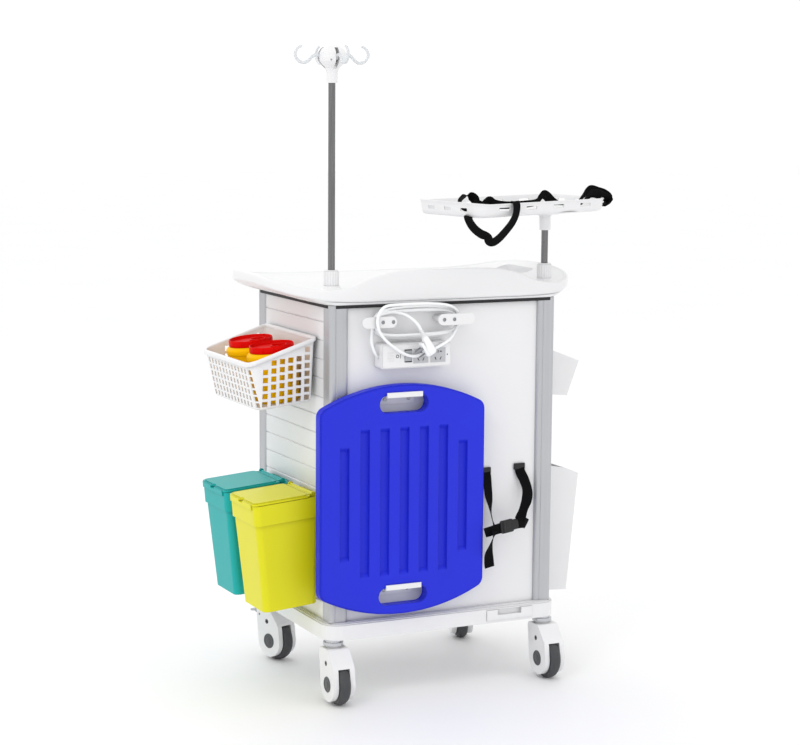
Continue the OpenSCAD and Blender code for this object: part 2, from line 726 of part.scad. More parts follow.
module lidded_bin(y0, y1, paint) {
    d = y1 - y0;
    mid = (y0 + y1) / 2;
    color(paint) difference() {
        union() {
            translate([side_x + 9, mid, bin_z]) rotate([0, lean, 0]) difference() {
                union() {
                    translate([3, 0, 0]) bin_shape(160, 22, 133, d - 6, 253, 0);
                    translate([bin_depth / 2, 0, -47]) slab(bin_depth, d, 16, 46.8);
                    for (s = [-1, 1]) translate([15, s * (d / 2 - 12), -1]) hinge_ear();
                }
                translate([3, 0, 0.1]) bin_shape(160, 22, 133, d - 6, 253, wall);
                for (s = [-1, 1]) translate([15, s * (d / 2 - 12), 5]) rotate([90, 0, 0])
                    cylinder(r = 3 + fit, h = 20, center = true);
                rail_clearance(d);
            }
            hook_over(1, mid - 50, mid + 50, bin_z);
        }
    }
}

// The back of the collar is cut upright, so that the bin clears its rail when it lifts.
module rail_clearance(d) {
    rotate([0, -lean, 0]) translate([-12, -d / 2 - 1, -60]) cube([9.4, d + 2, 50]);
}

module hinge_ear() {
    rotate([90, 0, 0]) translate([0, 0, -2]) union() {
        translate([0, 6, 0]) cylinder(r = 6, h = 4);
        translate([-6, 0, 0]) cube([12, 6, 4]);
    }
}

module bin_lid(y0, y1, paint) {
    d = y1 - y0;
    color(paint) translate([side_x + 9, (y0 + y1) / 2, bin_z]) rotate([0, lean, 0])
        union() {
            difference() {
                union() {
                    translate([bin_depth / 2 + 12, 0, 1]) slab(bin_depth - 22, d - 2, 12, 4);
                    translate([bin_depth / 2 + 14, 0, 4.5]) slab(bin_depth - 34, d - 12, 10, 3);
                    translate([bin_depth + 0.5, -d / 2 + 16, -9]) cube([3, d - 32, 13]);
                    translate([15, -d / 2 + 15, 2]) cube([12, d - 30, 4]);
                }
                translate([bin_depth + 6, 0, -1]) cylinder(r = 13, h = 12);
                for (s = [-1, 1]) translate([15, s * (d / 2 - 12), 5])
                    cube([26, 4.8, 17], center = true);
            }
            translate([15, 0, 5]) rotate([90, 0, 0])
                cylinder(r = 3, h = d - 21.4, center = true);
        }
}

module yellow_bin() { lidded_bin(yellow_y[0], yellow_y[1], yellow); }
module teal_bin() { lidded_bin(teal_y[0], teal_y[1], teal); }
module yellow_lid() { bin_lid(yellow_y[0], yellow_y[1], yellow); }
module teal_lid() { bin_lid(teal_y[0], teal_y[1], teal); }

// Outline of the basket seen along Y: back top, outer top, outer bottom, back bottom.
module basket_side(inset) {
    offset(delta = -inset) polygon([[0, 0], [162, -54], [139, -164], [5, -148]]);
}

module sharps_basket() {
    d = basket_y[1] - basket_y[0];
    color(abs_white) union() {
        translate([side_x + 9, 0, basket_z]) difference() {
            translate([0, basket_y[1], 0]) rotate([90, 0, 0]) linear_extrude(height = d)
                basket_side(0);
            translate([0, basket_y[1] - wall, 0]) rotate([90, 0, 0])
                linear_extrude(height = d - 2 * wall) union() {
                    basket_side(wall);
                    polygon([[wall, 8], [wall, -8], [159, -62], [159, 8]]);
                }
            for (i = [0:5], j = [0:5]) let (x = 20 + 20 * i, z = -22 - 20 * j)
                if (z - 7 > -148 - x * 0.115 && z + 7 < -x / 3 - 5 && x < 158 + (z + 54) * 0.21 - 14)
                    translate([x - 6.5, basket_y[0] - 1, z - 6.5]) cube([13, d + 2, 13]);
            for (k = [0:13], j = [0:4])
                translate([120, basket_y[0] + 20 + 20 * k, -76 - 19 * j]) cube([60, 11, 12]);
        }
        hook_over(1, basket_y[0] + 60, basket_y[1] - 60, basket_z);
    }
}

// Sharps tubs stand on the basket's sloping floor.
tub_lean = 6.6;
tub_r = 60;
tub_h = 119;
lid_r = 52;
mouth_r = lid_r - 2.5;
tubs = [[64, 75], [64, -55]];
module tub_place(k) {
    translate([side_x + 9 + tubs[k][0], tubs[k][1], basket_z - 155 + wall + 1.2])
        rotate([0, tub_lean, 0]) children();
}
module sharps_tub(k) {
    color(yellow) tub_place(k) difference() {
        union() {
            cylinder(r1 = tub_r - 8, r2 = tub_r - 2, h = tub_h - 16);
            translate([0, 0, tub_h - 18]) cylinder(r = tub_r, h = 12);
            translate([0, 0, tub_h - 6]) cylinder(r1 = tub_r, r2 = lid_r + 1, h = 6);
        }
        translate([0, 0, 2.5]) cylinder(r1 = tub_r - 10.5, r2 = tub_r - 4.5, h = tub_h - 10);
        translate([0, 0, tub_h - 20]) cylinder(r = mouth_r, h = 30);
    }
}
module sharps_tub_1() { sharps_tub(0); }
module sharps_tub_2() { sharps_tub(1); }

module sharps_lid(k) {
    color([0.85, 0.1, 0.05]) tub_place(k) difference() {
        union() {
            translate([0, 0, tub_h + gap]) cylinder(r = lid_r, h = 14);
            translate([0, 0, tub_h - 8]) cylinder(r = mouth_r - 0.4, h = 9);
        }
        translate([0, 0, tub_h + 9]) cylinder(r = lid_r - 3, h = 8);
        translate([-18, 0, tub_h - 16]) cylinder(r = 17, h = 40);
        translate([0, 0, tub_h - 9]) cylinder(r = mouth_r - 3, h = 15);
    }
}
module sharps_lid_1() { sharps_lid(0); }
module sharps_lid_2() { sharps_lid(1); }

// A plain open box on the left side. The profile lists its corners from the panel outwards.
module white_box(profile, z) {
    d = box_y[1] - box_y[0];
    top_out = profile[1];
    color(abs_white) union() {
        translate([-side_x - 10, 0, z]) difference() {
            translate([0, box_y[1], 0]) rotate([90, 0, 0]) linear_extrude(height = d)
                polygon(profile);
            translate([0, box_y[1] - wall, 0]) rotate([90, 0, 0])
                linear_extrude(height = d - 2 * wall) union() {
                    offset(delta = -wall) polygon(profile);
                    polygon([[-wall, 10], [top_out[0] + wall + 0.5, 10],
                        [top_out[0] + wall + 0.5, top_out[1] - 4], [-wall, -6]]);
                }
        }
        hook_over(-1, box_y[0] + 60, box_y[1] - 60, z);
    }
}
module upper_box() {
    white_box([[0, 0], [-102, -39], [-70, -123], [0, -116]], upper_box_z);
}
module lower_box() {
    white_box([[0, 0], [-70, -14], [-106, -29], [-77, -319], [0, -314]], lower_box_z);
}

// ---------- Casters ----------

module caster_races() {
    color([0.85, 0.85, 0.86]) for (c = casters)
        translate([c[0], c[1], base_z - race_h]) difference() {
            union() {
                cylinder(r = 23.5, h = 7);
                translate([0, 0, 7]) cylinder(r = 19, h = race_h - 7);
            }
            translate([0, 0, -1]) cylinder(r = stem_r + fit, h = race_h + 2);
        }
}

// Side outline of the fork: the swivel is at 0 and the axle is at the trail.
module fork_outline() {
    hull() {
        translate([-12, base_z - race_h - 13]) circle(8, $fn = 32);
        translate([24, base_z - race_h - 14]) circle(9, $fn = 32);
        translate([trail + 6, 80]) circle(30, $fn = 32);
        translate([trail, wheel_r]) circle(40, $fn = 48);
    }
}

module caster_fork(k) {
    top = base_z - race_h - gap;
    color(abs_white) translate([casters[k][0], casters[k][1], 0]) rotate([0, 0, casters[k][2]])
        difference() {
            union() {
                difference() {
                    translate([-fork_w / 2, 0, 0]) rotate([90, 0, 90])
                        linear_extrude(height = fork_w) fork_outline();
                    translate([0, trail, wheel_r]) rotate([0, 90, 0])
                        cylinder(r = wheel_r + 3, h = tyre_w + 3, center = true);
                    translate([-(tyre_w + 3) / 2, trail, 0]) cube([tyre_w + 3, 60, 88]);
                    translate([-(tyre_w + 3) / 2, trail - 60, -10]) cube([tyre_w + 3, 60, 60]);
                }
                translate([0, trail, wheel_r]) rotate([0, 90, 0])
                    cylinder(r = 5, h = tyre_w + 6, center = true);
                translate([0, 0, top - 8]) cylinder(r = 19, h = 8);
                translate([0, 0, top - 8]) cylinder(r = stem_r, h = 44);
            }
            for (s = [-1, 1]) translate([s * fork_w / 2, trail - 8, 98]) rotate([0, 90, 0])
                cylinder(r = 4.5, h = 8, center = true);
            if (k > 1) pedal_room();
        }
}

module caster_wheel(k) {
    color(rubber) translate([casters[k][0], casters[k][1], 0]) rotate([0, 0, casters[k][2]])
        translate([0, trail, wheel_r]) rotate([0, 90, 0]) difference() {
            rotate_extrude($fn = 96) polygon([[5 + fit, -14], [12, -14], [12, -11], [34, -11],
                [38, -tyre_w / 2], [45, -tyre_w / 2], [48.5, -9], [wheel_r, -4], [wheel_r, 4],
                [48.5, 9], [45, tyre_w / 2], [38, tyre_w / 2], [34, 11], [12, 11], [12, 14],
                [5 + fit, 14]]);
        }
}

// The brake pedal turns on a pin between two cheeks at the leading side of a front fork.
pedal_y = -8;
pedal_z = 112;
module pedal_room() {
    translate([0, pedal_y, pedal_z]) rotate([0, 90, 0]) cylinder(r = 3 + fit, h = 60, center = true);
    translate([-12, pedal_y - 20, pedal_z - 14]) cube([24, 28, 22]);
}
module brake_pedal(k) {
    color(rubber) translate([casters[k][0], casters[k][1], 0]) rotate([0, 0, casters[k][2]])
        translate([0, pedal_y, pedal_z]) union() {
            rotate([0, 90, 0]) cylinder(r = 3, h = 50, center = true);
            rotate([0, 90, 0]) cylinder(r = 6, h = 23, center = true);
            translate([-11.5, -34, -4]) cube([23, 34, 5]);
            translate([-16, -48, -2]) rotate([8, 0, 0]) cube([32, 20, 5]);
        }
}

module caster_fork_1() { caster_fork(0); }
module caster_fork_2() { caster_fork(1); }
module caster_fork_3() { caster_fork(2); }
module caster_fork_4() { caster_fork(3); }
module caster_wheel_1() { caster_wheel(0); }
module caster_wheel_2() { caster_wheel(1); }
module caster_wheel_3() { caster_wheel(2); }
module caster_wheel_4() { caster_wheel(3); }
module brake_pedal_1() { brake_pedal(2); }
module brake_pedal_2() { brake_pedal(3); }

base_tray();
corner_columns();
side_panel_right();
side_panel_left();
back_panel();
cabinet_frame();
worktop();
cord_hooks();
board_hooks();
power_strip();
panel_screws();
cylinder_strap();
caster_races();
container_rails();
drawer_1();
drawer_2();
drawer_3();
drawer_4();
drawer_5();
central_lock();
iv_collar();
iv_pole();
iv_head();
iv_hook_1();
iv_hook_2();
iv_hook_3();
iv_hook_4();
shelf_collar();
shelf_post();
shelf_tray();
tray_straps();
cpr_board();
rocker_switch();
cord_lead();
cord_coil();
cord_front_turn();
cord_tail();
mains_plug();
cylinder_support();
sharps_basket();
sharps_tub_1();
sharps_tub_2();
sharps_lid_1();
sharps_lid_2();
yellow_bin();
yellow_lid();
teal_bin();
teal_lid();
upper_box();
lower_box();
caster_fork_1();
caster_fork_2();
caster_fork_3();
caster_fork_4();
caster_wheel_1();
caster_wheel_2();
caster_wheel_3();
caster_wheel_4();
brake_pedal_1();
brake_pedal_2();
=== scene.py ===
"""Looks of a hospital emergency trolley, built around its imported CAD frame."""

import json
import math

import bmesh
import bpy
from mathutils import Matrix, Vector

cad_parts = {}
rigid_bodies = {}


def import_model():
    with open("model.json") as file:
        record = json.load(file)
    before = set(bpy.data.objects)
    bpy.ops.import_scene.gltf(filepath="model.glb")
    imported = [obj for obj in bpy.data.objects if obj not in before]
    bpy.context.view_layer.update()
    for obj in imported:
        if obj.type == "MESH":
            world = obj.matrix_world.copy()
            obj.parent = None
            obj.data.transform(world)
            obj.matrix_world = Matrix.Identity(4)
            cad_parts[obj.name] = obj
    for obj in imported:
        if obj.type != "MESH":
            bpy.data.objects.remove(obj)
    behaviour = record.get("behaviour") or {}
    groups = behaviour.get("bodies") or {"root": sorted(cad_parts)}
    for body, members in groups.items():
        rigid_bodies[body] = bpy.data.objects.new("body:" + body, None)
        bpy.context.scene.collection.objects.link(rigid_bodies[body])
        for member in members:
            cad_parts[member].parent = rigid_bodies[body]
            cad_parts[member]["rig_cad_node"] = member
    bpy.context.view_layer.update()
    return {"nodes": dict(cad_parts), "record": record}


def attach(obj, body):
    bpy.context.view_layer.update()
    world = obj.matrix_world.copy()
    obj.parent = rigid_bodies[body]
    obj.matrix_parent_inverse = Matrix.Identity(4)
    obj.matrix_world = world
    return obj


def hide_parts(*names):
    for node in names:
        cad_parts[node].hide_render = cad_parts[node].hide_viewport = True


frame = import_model()
scene = bpy.context.scene
MM = 0.001


def moved(x, y, z):
    """A move in millimetres."""
    return Matrix.Translation(Vector((x, y, z)) * MM)


def turned(degrees, axis):
    return Matrix.Rotation(math.radians(degrees), 4, axis)


def in_mm(profile):
    """A profile of (radius, height) in millimetres, in metres."""
    return [(r * MM, z * MM) for r, z in profile]


# ---------- Camera ----------

def make_camera():
    yaw, pitch, roll = (math.radians(a) for a in (205.738, -7.722, 0.42))
    ahead = Vector((math.sin(yaw) * math.cos(pitch), math.cos(yaw) * math.cos(pitch), math.sin(pitch)))
    right = Vector((math.cos(yaw), -math.sin(yaw), 0))
    up = right.cross(ahead)
    right, up = (
        right * math.cos(roll) + up * math.sin(roll),
        up * math.cos(roll) - right * math.sin(roll),
    )
    data = bpy.data.cameras.new("camera")
    data.lens, data.sensor_width = 92.49, 36
    data.clip_end = 50
    cam = bpy.data.objects.new("camera", data)
    scene.collection.objects.link(cam)
    turn = Matrix((right, up, -ahead)).transposed().to_4x4()
    cam.matrix_world = Matrix.Translation((2.1534, 4.4443, 1.3999)) @ turn
    scene.camera = cam


make_camera()


# ---------- Materials ----------

def linear(r, g, b):
    """A colour as seen on a screen, from 0 to 255, as the shader wants it."""
    return tuple(((c / 255 + 0.055) / 1.055) ** 2.4 if c > 10 else c / 255 / 12.92 for c in (r, g, b)) + (1,)


class Finish:
    """A material with the nodes that most of the surfaces here share."""

    def __init__(self, name, colour, rough, metal=0.0, edge=0.0008, **fixed):
        self.mat = bpy.data.materials.new(name)
        self.mat.use_nodes = True
        self.tree = self.mat.node_tree
        self.shader = self.tree.nodes["Principled BSDF"]
        self.colour = colour
        self.rough = rough
        self.shader.inputs["Metallic"].default_value = metal
        for key, value in fixed.items():
            self.shader.inputs[key.replace("_", " ")].default_value = value
        self.where = self.node("ShaderNodeTexCoord").outputs["Object"]
        self.edge = self.node("ShaderNodeBevel", samples=4)
        self.edge.inputs["Radius"].default_value = edge
        self.normal = self.edge.outputs["Normal"]
        self.paint = None

    def node(self, kind, **settings):
        n = self.tree.nodes.new(kind)
        for key, value in settings.items():
            setattr(n, key, value)
        return n

    def link(self, source, target):
        self.tree.links.new(source, target)
        return self

    def math(self, operation, a, b=0.0, c=None, clamp=False):
        n = self.node("ShaderNodeMath", operation=operation, use_clamp=clamp)
        for socket, value in zip(n.inputs, (a, b) if c is None else (a, b, c)):
            if isinstance(value, (int, float)):
                socket.default_value = value
            else:
                self.link(value, socket)
        return n.outputs[0]

    def stretched(self, scale):
        m = self.node("ShaderNodeMapping")
        m.inputs["Scale"].default_value = scale
        self.link(self.where, m.inputs["Vector"])
        return m.outputs["Vector"]

    def noise(self, scale, detail=2.0, stretch=None, roughness=0.5):
        n = self.node("ShaderNodeTexNoise")
        n.inputs["Scale"].default_value = scale
        n.inputs["Detail"].default_value = detail
        n.inputs["Roughness"].default_value = roughness
        self.link(self.stretched(stretch) if stretch else self.where, n.inputs["Vector"])
        return n.outputs["Fac"]

    def mottled(self, scale, amount, stretch=None, detail=3.0):
        """Lets the colour vary by that share over patches of about 1 / scale metres."""
        ramp = self.node("ShaderNodeMapRange")
        self.link(self.noise(scale, detail, stretch), ramp.inputs["Value"])
        ramp.inputs["From Min"].default_value = 0.3
        ramp.inputs["From Max"].default_value = 0.7
        ramp.inputs["To Min"].default_value = 1 - amount
        ramp.inputs["To Max"].default_value = 1 + amount
        scaled = self.node("ShaderNodeVectorMath", operation="SCALE")
        if self.paint is None:
            scaled.inputs[0].default_value = self.colour[:3]
        else:
            self.link(self.paint, scaled.inputs[0])
        self.link(ramp.outputs[0], scaled.inputs["Scale"])
        self.paint = scaled.outputs[0]
        return self

    def painted_where(self, mask, colour):
        """Another colour where the mask is 1."""
        mix = self.node("ShaderNodeMix", data_type="RGBA")
        self.link(mask, mix.inputs["Factor"])
        if self.paint is None:
            mix.inputs["A"].default_value = self.colour
        else:
            self.link(self.paint, mix.inputs["A"])
        mix.inputs["B"].default_value = colour
        self.paint = mix.outputs["Result"]
        return self

    def bumped(self, height, distance, strength=1.0):
        b = self.node("ShaderNodeBump")
        b.inputs["Strength"].default_value = strength
        b.inputs["Distance"].default_value = distance
        self.link(height, b.inputs["Height"])
        self.link(self.normal, b.inputs["Normal"])
        self.normal = b.outputs["Normal"]
        return self

    def shaded_in_corners(self, reach, depth):
        """Painted shade: darkens the colour in seams, grooves and corners, where less light comes."""
        corner = self.node("ShaderNodeAmbientOcclusion", samples=4)
        corner.inputs["Distance"].default_value = reach
        ramp = self.node("ShaderNodeMapRange")
        self.link(corner.outputs["AO"], ramp.inputs["Value"])
        ramp.inputs["From Min"].default_value = 0.25
        ramp.inputs["From Max"].default_value = 0.85
        ramp.inputs["To Min"].default_value = 1 - depth
        scaled = self.node("ShaderNodeVectorMath", operation="SCALE")
        self.link(self.paint, scaled.inputs[0])
        self.link(ramp.outputs[0], scaled.inputs["Scale"])
        self.paint = scaled.outputs[0]
        return self

    def done(self, rough_spread=0.025, rough_scale=9.0):
        ramp = self.node("ShaderNodeMapRange")
        self.link(self.noise(rough_scale, 4.0), ramp.inputs["Value"])
        ramp.inputs["From Min"].default_value = 0.35
        ramp.inputs["From Max"].default_value = 0.65
        ramp.inputs["To Min"].default_value = max(0.02, self.rough - rough_spread)
        ramp.inputs["To Max"].default_value = self.rough + rough_spread
        self.link(ramp.outputs[0], self.shader.inputs["Roughness"])
        if self.paint is None:
            self.shader.inputs["Base Color"].default_value = self.colour
        else:
            self.link(self.paint, self.shader.inputs["Base Color"])
        self.link(self.normal, self.shader.inputs["Normal"])
        return self.mat


def box_mask(f, low, high):
    """1 inside a box in the object's own frame, in metres."""
    split = f.node("ShaderNodeSeparateXYZ")
    f.link(f.where, split.inputs[0])
    mask = None
    for axis in range(3):
        for bound, operation in ((low[axis], "GREATER_THAN"), (high[axis], "LESS_THAN")):
            if bound is None:
                continue
            inside = f.math(operation, split.outputs[axis], bound)
            mask = inside if mask is None else f.math("MULTIPLY", mask, inside)
    return mask


def plastic(name, colour, rough, grain=0.000006, grain_scale=900.0, mottle=0.008, edge=0.0009, **fixed):
    f = Finish(name, colour, rough, edge=edge, **fixed)
    f.mottled(2.5, mottle)
    f.bumped(f.noise(grain_scale, 2.0), grain)
    f.bumped(f.noise(5.0, 1.0), 0.0005, 0.15)
    # Painted shade: every plastic is darker in its seams and corners.
    f.shaded_in_corners(0.012, 0.35)
    return f


def brushed(name, colour, rough, stretch, streak=0.05, edge=0.0006, **fixed):
    f = Finish(name, colour, rough, metal=1.0, edge=edge, **fixed)
    f.mottled(1.0, streak, stretch=stretch, detail=6.0)
    f.bumped(f.noise(1.0, 5.0, stretch=tuple(3 * s for s in stretch)), 0.00003, 0.6)
    return f


def webbing_finish():
    """Black polyester webbing: ribs across and yarns along, from the UVs in metres."""
    f = Finish("webbing", (0.004, 0.004, 0.0045, 1), 0.75, edge=0.0003, Specular_IOR_Level=0.06)
    uv = f.node("ShaderNodeTexCoord").outputs["UV"]
    split = f.node("ShaderNodeSeparateXYZ")
    f.link(uv, split.inputs[0])
    across = f.math("MULTIPLY", split.outputs[0], 2 * math.pi / 0.0016)
    along = f.math("MULTIPLY", split.outputs[1], 2 * math.pi / 0.0022)
    twill = f.math("SINE", f.math("ADD", across, along))
    ribs = f.math("SINE", across)
    weave = f.math("ADD", f.math("MULTIPLY", twill, 0.6), ribs)
    # Painted shade and highlight: the colour is darker in the weave's grooves and lighter on its ridges,
    # following the bump's height.
    lift = f.node("ShaderNodeMapRange")
    f.link(weave, lift.inputs["Value"])
    lift.inputs["From Min"].default_value = -1.6
    lift.inputs["From Max"].default_value = 1.6
    lift.inputs["To Min"].default_value = 0.6
    lift.inputs["To Max"].default_value = 1.9
    scaled = f.node("ShaderNodeVectorMath", operation="SCALE")
    scaled.inputs[0].default_value = f.colour[:3]
    f.link(lift.outputs[0], scaled.inputs["Scale"])
    f.paint = scaled.outputs[0]
    f.bumped(weave, 0.00012)
    return f.done(0.08)


def column_finish():
    """Satin anodised extrusion with fine vertical draw lines."""
    f = Finish("anodised", linear(188, 189, 192), 0.45, metal=0.8, edge=0.0016, Anisotropic=0.3)
    f.mottled(1.0, 0.035, stretch=(420.0, 420.0, 2.0), detail=5.0)
    f.mottled(900.0, 0.02, detail=2.0)
    f.bumped(f.noise(1.0, 4.0, stretch=(1600.0, 1600.0, 6.0)), 0.00002, 0.5)
    return f.done(0.04)


WHITE = linear(231, 231, 232)


def strip_finish():
    """White housing with grey socket inserts, holes painted near-black as painted shade, and a printed
    on-off mark.
    """
    f = plastic("strip_white", WHITE, 0.3, edge=0.0007)
    for x in (0.079, 0.035):
        insert = box_mask(f, (x - 0.0188, 0.2502, 0.7882), (x + 0.0188, None, 0.8218))
        f.painted_where(insert, linear(186, 187, 190))
    # Painted shade: the recessed socket holes and the small hole beside them are painted near-black.
    f.painted_where(box_mask(f, (0.012, None, 0.789), (0.128, 0.2496, 0.825)), linear(14, 14, 15))
    f.painted_where(box_mask(f, (0.0085, None, 0.802), (0.013, 0.2505, 0.808)), linear(16, 16, 16))
    split = f.node("ShaderNodeSeparateXYZ")
    f.link(f.where, split.inputs[0])
    dx = f.math("SUBTRACT", split.outputs[0], 0.1385)
    dz = f.math("SUBTRACT", split.outputs[2], 0.806)
    ring = f.math("SQRT", f.math("ADD", f.math("MULTIPLY", dx, dx), f.math("MULTIPLY", dz, dz)))
    circle = f.math("COMPARE", ring, 0.0031, 0.00085)
    bar = f.math(
        "MULTIPLY",
        f.math("COMPARE", dx, -0.0072, 0.00075),
        f.math("COMPARE", dz, 0.0, 0.0048),
    )
    marks = f.math("MAXIMUM", circle, bar)
    front = f.math("GREATER_THAN", split.outputs[1], 0.2505)
    f.painted_where(f.math("MULTIPLY", marks, front), linear(70, 70, 74))
    return f.done()


def blue_finish():
    """Blow-moulded polyethylene: an even fine leather grain and a slight waviness."""
    f = Finish("blue_plastic", linear(34, 46, 210), 0.46, edge=0.003, Specular_IOR_Level=0.22)
    f.mottled(5.0, 0.03)
    cells = f.node("ShaderNodeTexVoronoi", feature="SMOOTH_F1")
    cells.inputs["Scale"].default_value = 900.0
    f.link(f.where, cells.inputs["Vector"])
    f.bumped(cells.outputs["Distance"], 0.00006, 0.7)
    f.bumped(f.noise(14.0, 2.0), 0.0012, 0.35)
    return f.done(0.06)


def clear_finish():
    f = plastic("clear_plastic", linear(238, 241, 244), 0.16, edge=0.0006, Transmission_Weight=0.3, IOR=1.49)
    return f.done(0.03)


def rubber_finish():
    f = Finish("tyre_grey", linear(62, 63, 66), 0.55, edge=0.0012)
    f.mottled(60.0, 0.08)
    f.bumped(f.noise(2200.0, 3.0), 0.00004)
    f.bumped(f.noise(35.0, 3.0), 0.0004, 0.3)
    return f.done(0.1)


MATERIALS = {
    "abs_white": plastic("abs_white", WHITE, 0.3).done(),
    "drawer_front": plastic("drawer_front", WHITE, 0.28).done(),
    "anodised": column_finish(),
    "screw_steel": brushed("screw_steel", linear(150, 152, 156), 0.3, (900.0, 900.0, 900.0)).done(),
    "webbing": webbing_finish(),
    "chrome_race": brushed("chrome_race", linear(196, 197, 200), 0.16, (30.0, 30.0, 900.0), 0.04).done(0.05),
    "lock_metal": brushed("lock_metal", linear(205, 206, 210), 0.14, (500.0, 30.0, 30.0), 0.03).done(0.04),
    "pole_steel": brushed(
        "pole_steel", linear(119, 119, 120), 0.34, (520.0, 520.0, 9.0), 0.2).done(0.07, 60.0),
    "clear_plastic": clear_finish(),
    "blue_plastic": blue_finish(),
    "grey_plastic": plastic("grey_plastic", linear(176, 178, 182), 0.34).done(),
    "cord_white": plastic("cord_white", linear(245, 246, 247), 0.4, grain_scale=2600.0).done(),
    "plug_white": plastic("plug_white", linear(244, 245, 246), 0.36).done(),
    "yellow_plastic": plastic(
        "yellow_plastic", linear(250, 192, 0), 0.4, mottle=0.03, Specular_IOR_Level=0.05).done(),
    "red_plastic": plastic(
        "red_plastic", linear(222, 8, 3), 0.38, mottle=0.04, Specular_IOR_Level=0.05).done(),
    "bin_yellow": plastic(
        "bin_yellow", linear(222, 217, 18), 0.38, mottle=0.03, Specular_IOR_Level=0.3).done(),
    "bin_teal": plastic(
        "bin_teal", linear(26, 168, 166), 0.4, mottle=0.03, Specular_IOR_Level=0.2).done(),
    "tyre_grey": rubber_finish(),
    "strip_white": strip_finish(),
    "dark_cap": plastic("dark_cap", linear(74, 75, 78), 0.45, mottle=0.05).done(),
    # Near-black plastic: the real colour of the strap anchors and buckle, and painted shade in the caster
    # pockets and along the worktop's lower edge.
    "dark_parts_and_painted_shade": plastic("dark_parts_and_painted_shade", linear(24, 24, 26), 0.6, mottle=0.1).done(),
}


def finish_with(obj, slot, own=None):
    """Gives an object a material: its own finish where one is given, else the one of the record's slot."""
    obj.data.materials.clear()
    obj.data.materials.append(MATERIALS[own or slot])
    return obj


OWN = {"power_strip": "strip_white"}
for part in frame["record"]["subparts"]:
    finish_with(frame["nodes"][part["node"]], part["material_slot"], OWN.get(part["node"]))


# ---------- Mesh helpers ----------

def mesh_object(name, points, faces, slot, body, own=None, smooth=35.0):
    mesh = bpy.data.meshes.new(name)
    mesh.from_pydata([tuple(p) for p in points], [], faces)
    bm = bmesh.new()
    bm.from_mesh(mesh)
    bmesh.ops.recalc_face_normals(bm, faces=bm.faces)
    bm.to_mesh(mesh)
    bm.free()
    obj = bpy.data.objects.new(name, mesh)
    scene.collection.objects.link(obj)
    if smooth:
        mesh.shade_smooth()
        mesh.set_sharp_from_angle(angle=math.radians(smooth))
    finish_with(obj, slot, own)
    if body:
        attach(obj, body)
    return obj


def spline_at(p0, p1, p2, p3, t):
    return 0.5 * (
        2 * p1 + (p2 - p0) * t + (2 * p0 - 5 * p1 + 4 * p2 - p3) * t * t
        + (3 * p1 - p0 - 3 * p2 + p3) * t * t * t
    )


def smooth_line(points, n):
    """A Catmull-Rom line through the points, with n steps between each two."""
    p = [Vector(q) for q in points]
    last = len(p) - 1
    out = [
        spline_at(p[max(i - 1, 0)], p[i], p[i + 1], p[min(i + 2, last)], k / n)
        for i in range(last)
        for k in range(n)
    ]
    return out + [p[-1]]


def ring_faces(rings, sides, closed_ends=True):
    faces = [
        (i * sides + j, i * sides + (j + 1) % sides, (i + 1) * sides + (j + 1) % sides, (i + 1) * sides + j)
        for i in range(rings - 1)
        for j in range(sides)
    ]
    if closed_ends:
        faces.append(tuple(range(sides)))
        faces.append(tuple((rings - 1) * sides + j for j in range(sides)))
    return faces


def lathe(profile, sides, place):
    """Points and faces of a profile of (radius, height) turned about Z, then put in place."""
    points, faces = [], []
    for r, z in profile:
        points += [
            place @ Vector((r * math.cos(2 * math.pi * j / sides), r * math.sin(2 * math.pi * j / sides), z))
            for j in range(sides)
        ]
    return points, ring_faces(len(profile), sides)


def joined(parts):
    """Several (points, faces) as one."""
    points, faces = [], []
    for p, f in parts:
        faces += [tuple(i + len(points) for i in face) for face in f]
        points += p
    return points, faces


def rounded_box(size, radius, place, steps=4):
    """A box with rounded upright edges and a rounded rim, centred on the origin, then put in place."""
    w, d, h = (s / 2 for s in size)

    def outline(shrink):
        r = max(radius - shrink, 1e-5)
        return [
            (sx * (w - radius) + r * math.cos(a), sy * (d - radius) + r * math.sin(a))
            for sx, sy, start in ((1, 1, 0), (-1, 1, 90), (-1, -1, 180), (1, -1, 270))
            for a in (math.radians(start + 90 * k / steps) for k in range(steps + 1))
        ]

    soft = radius * 0.45
    rings = []
    for k in range(steps + 1):
        a = math.pi / 2 * k / steps
        rings.append((soft * (1 - math.sin(a)), -h + soft * (1 - math.cos(a))))
    rings += [(s, -z) for s, z in reversed(rings)]
    points = [place @ Vector((x, y, z)) for shrink, z in rings for x, y in outline(shrink)]
    return points, ring_faces(len(rings), 4 * (steps + 1))


def cut(obj, points, faces):
    """Takes a shape out of an object's mesh."""
    mesh = bpy.data.meshes.new("cutter")
    mesh.from_pydata([tuple(p) for p in points], [], faces)
    bm = bmesh.new()
    bm.from_mesh(mesh)
    bmesh.ops.recalc_face_normals(bm, faces=bm.faces)
    bm.to_mesh(mesh)
    bm.free()
    cutter = bpy.data.objects.new("cutter", mesh)
    scene.collection.objects.link(cutter)
    m = obj.modifiers.new("cut", "BOOLEAN")
    m.operation, m.solver, m.object = "DIFFERENCE", "EXACT", cutter
    bpy.context.view_layer.update()
    result = bpy.data.meshes.new_from_object(obj.evaluated_get(bpy.context.evaluated_depsgraph_get()))
    obj.modifiers.clear()
    obj.data = result
    bpy.data.objects.remove(cutter)
    result.shade_smooth()
    result.set_sharp_from_angle(angle=math.radians(35))
    return obj


# ---------- Cord ----------

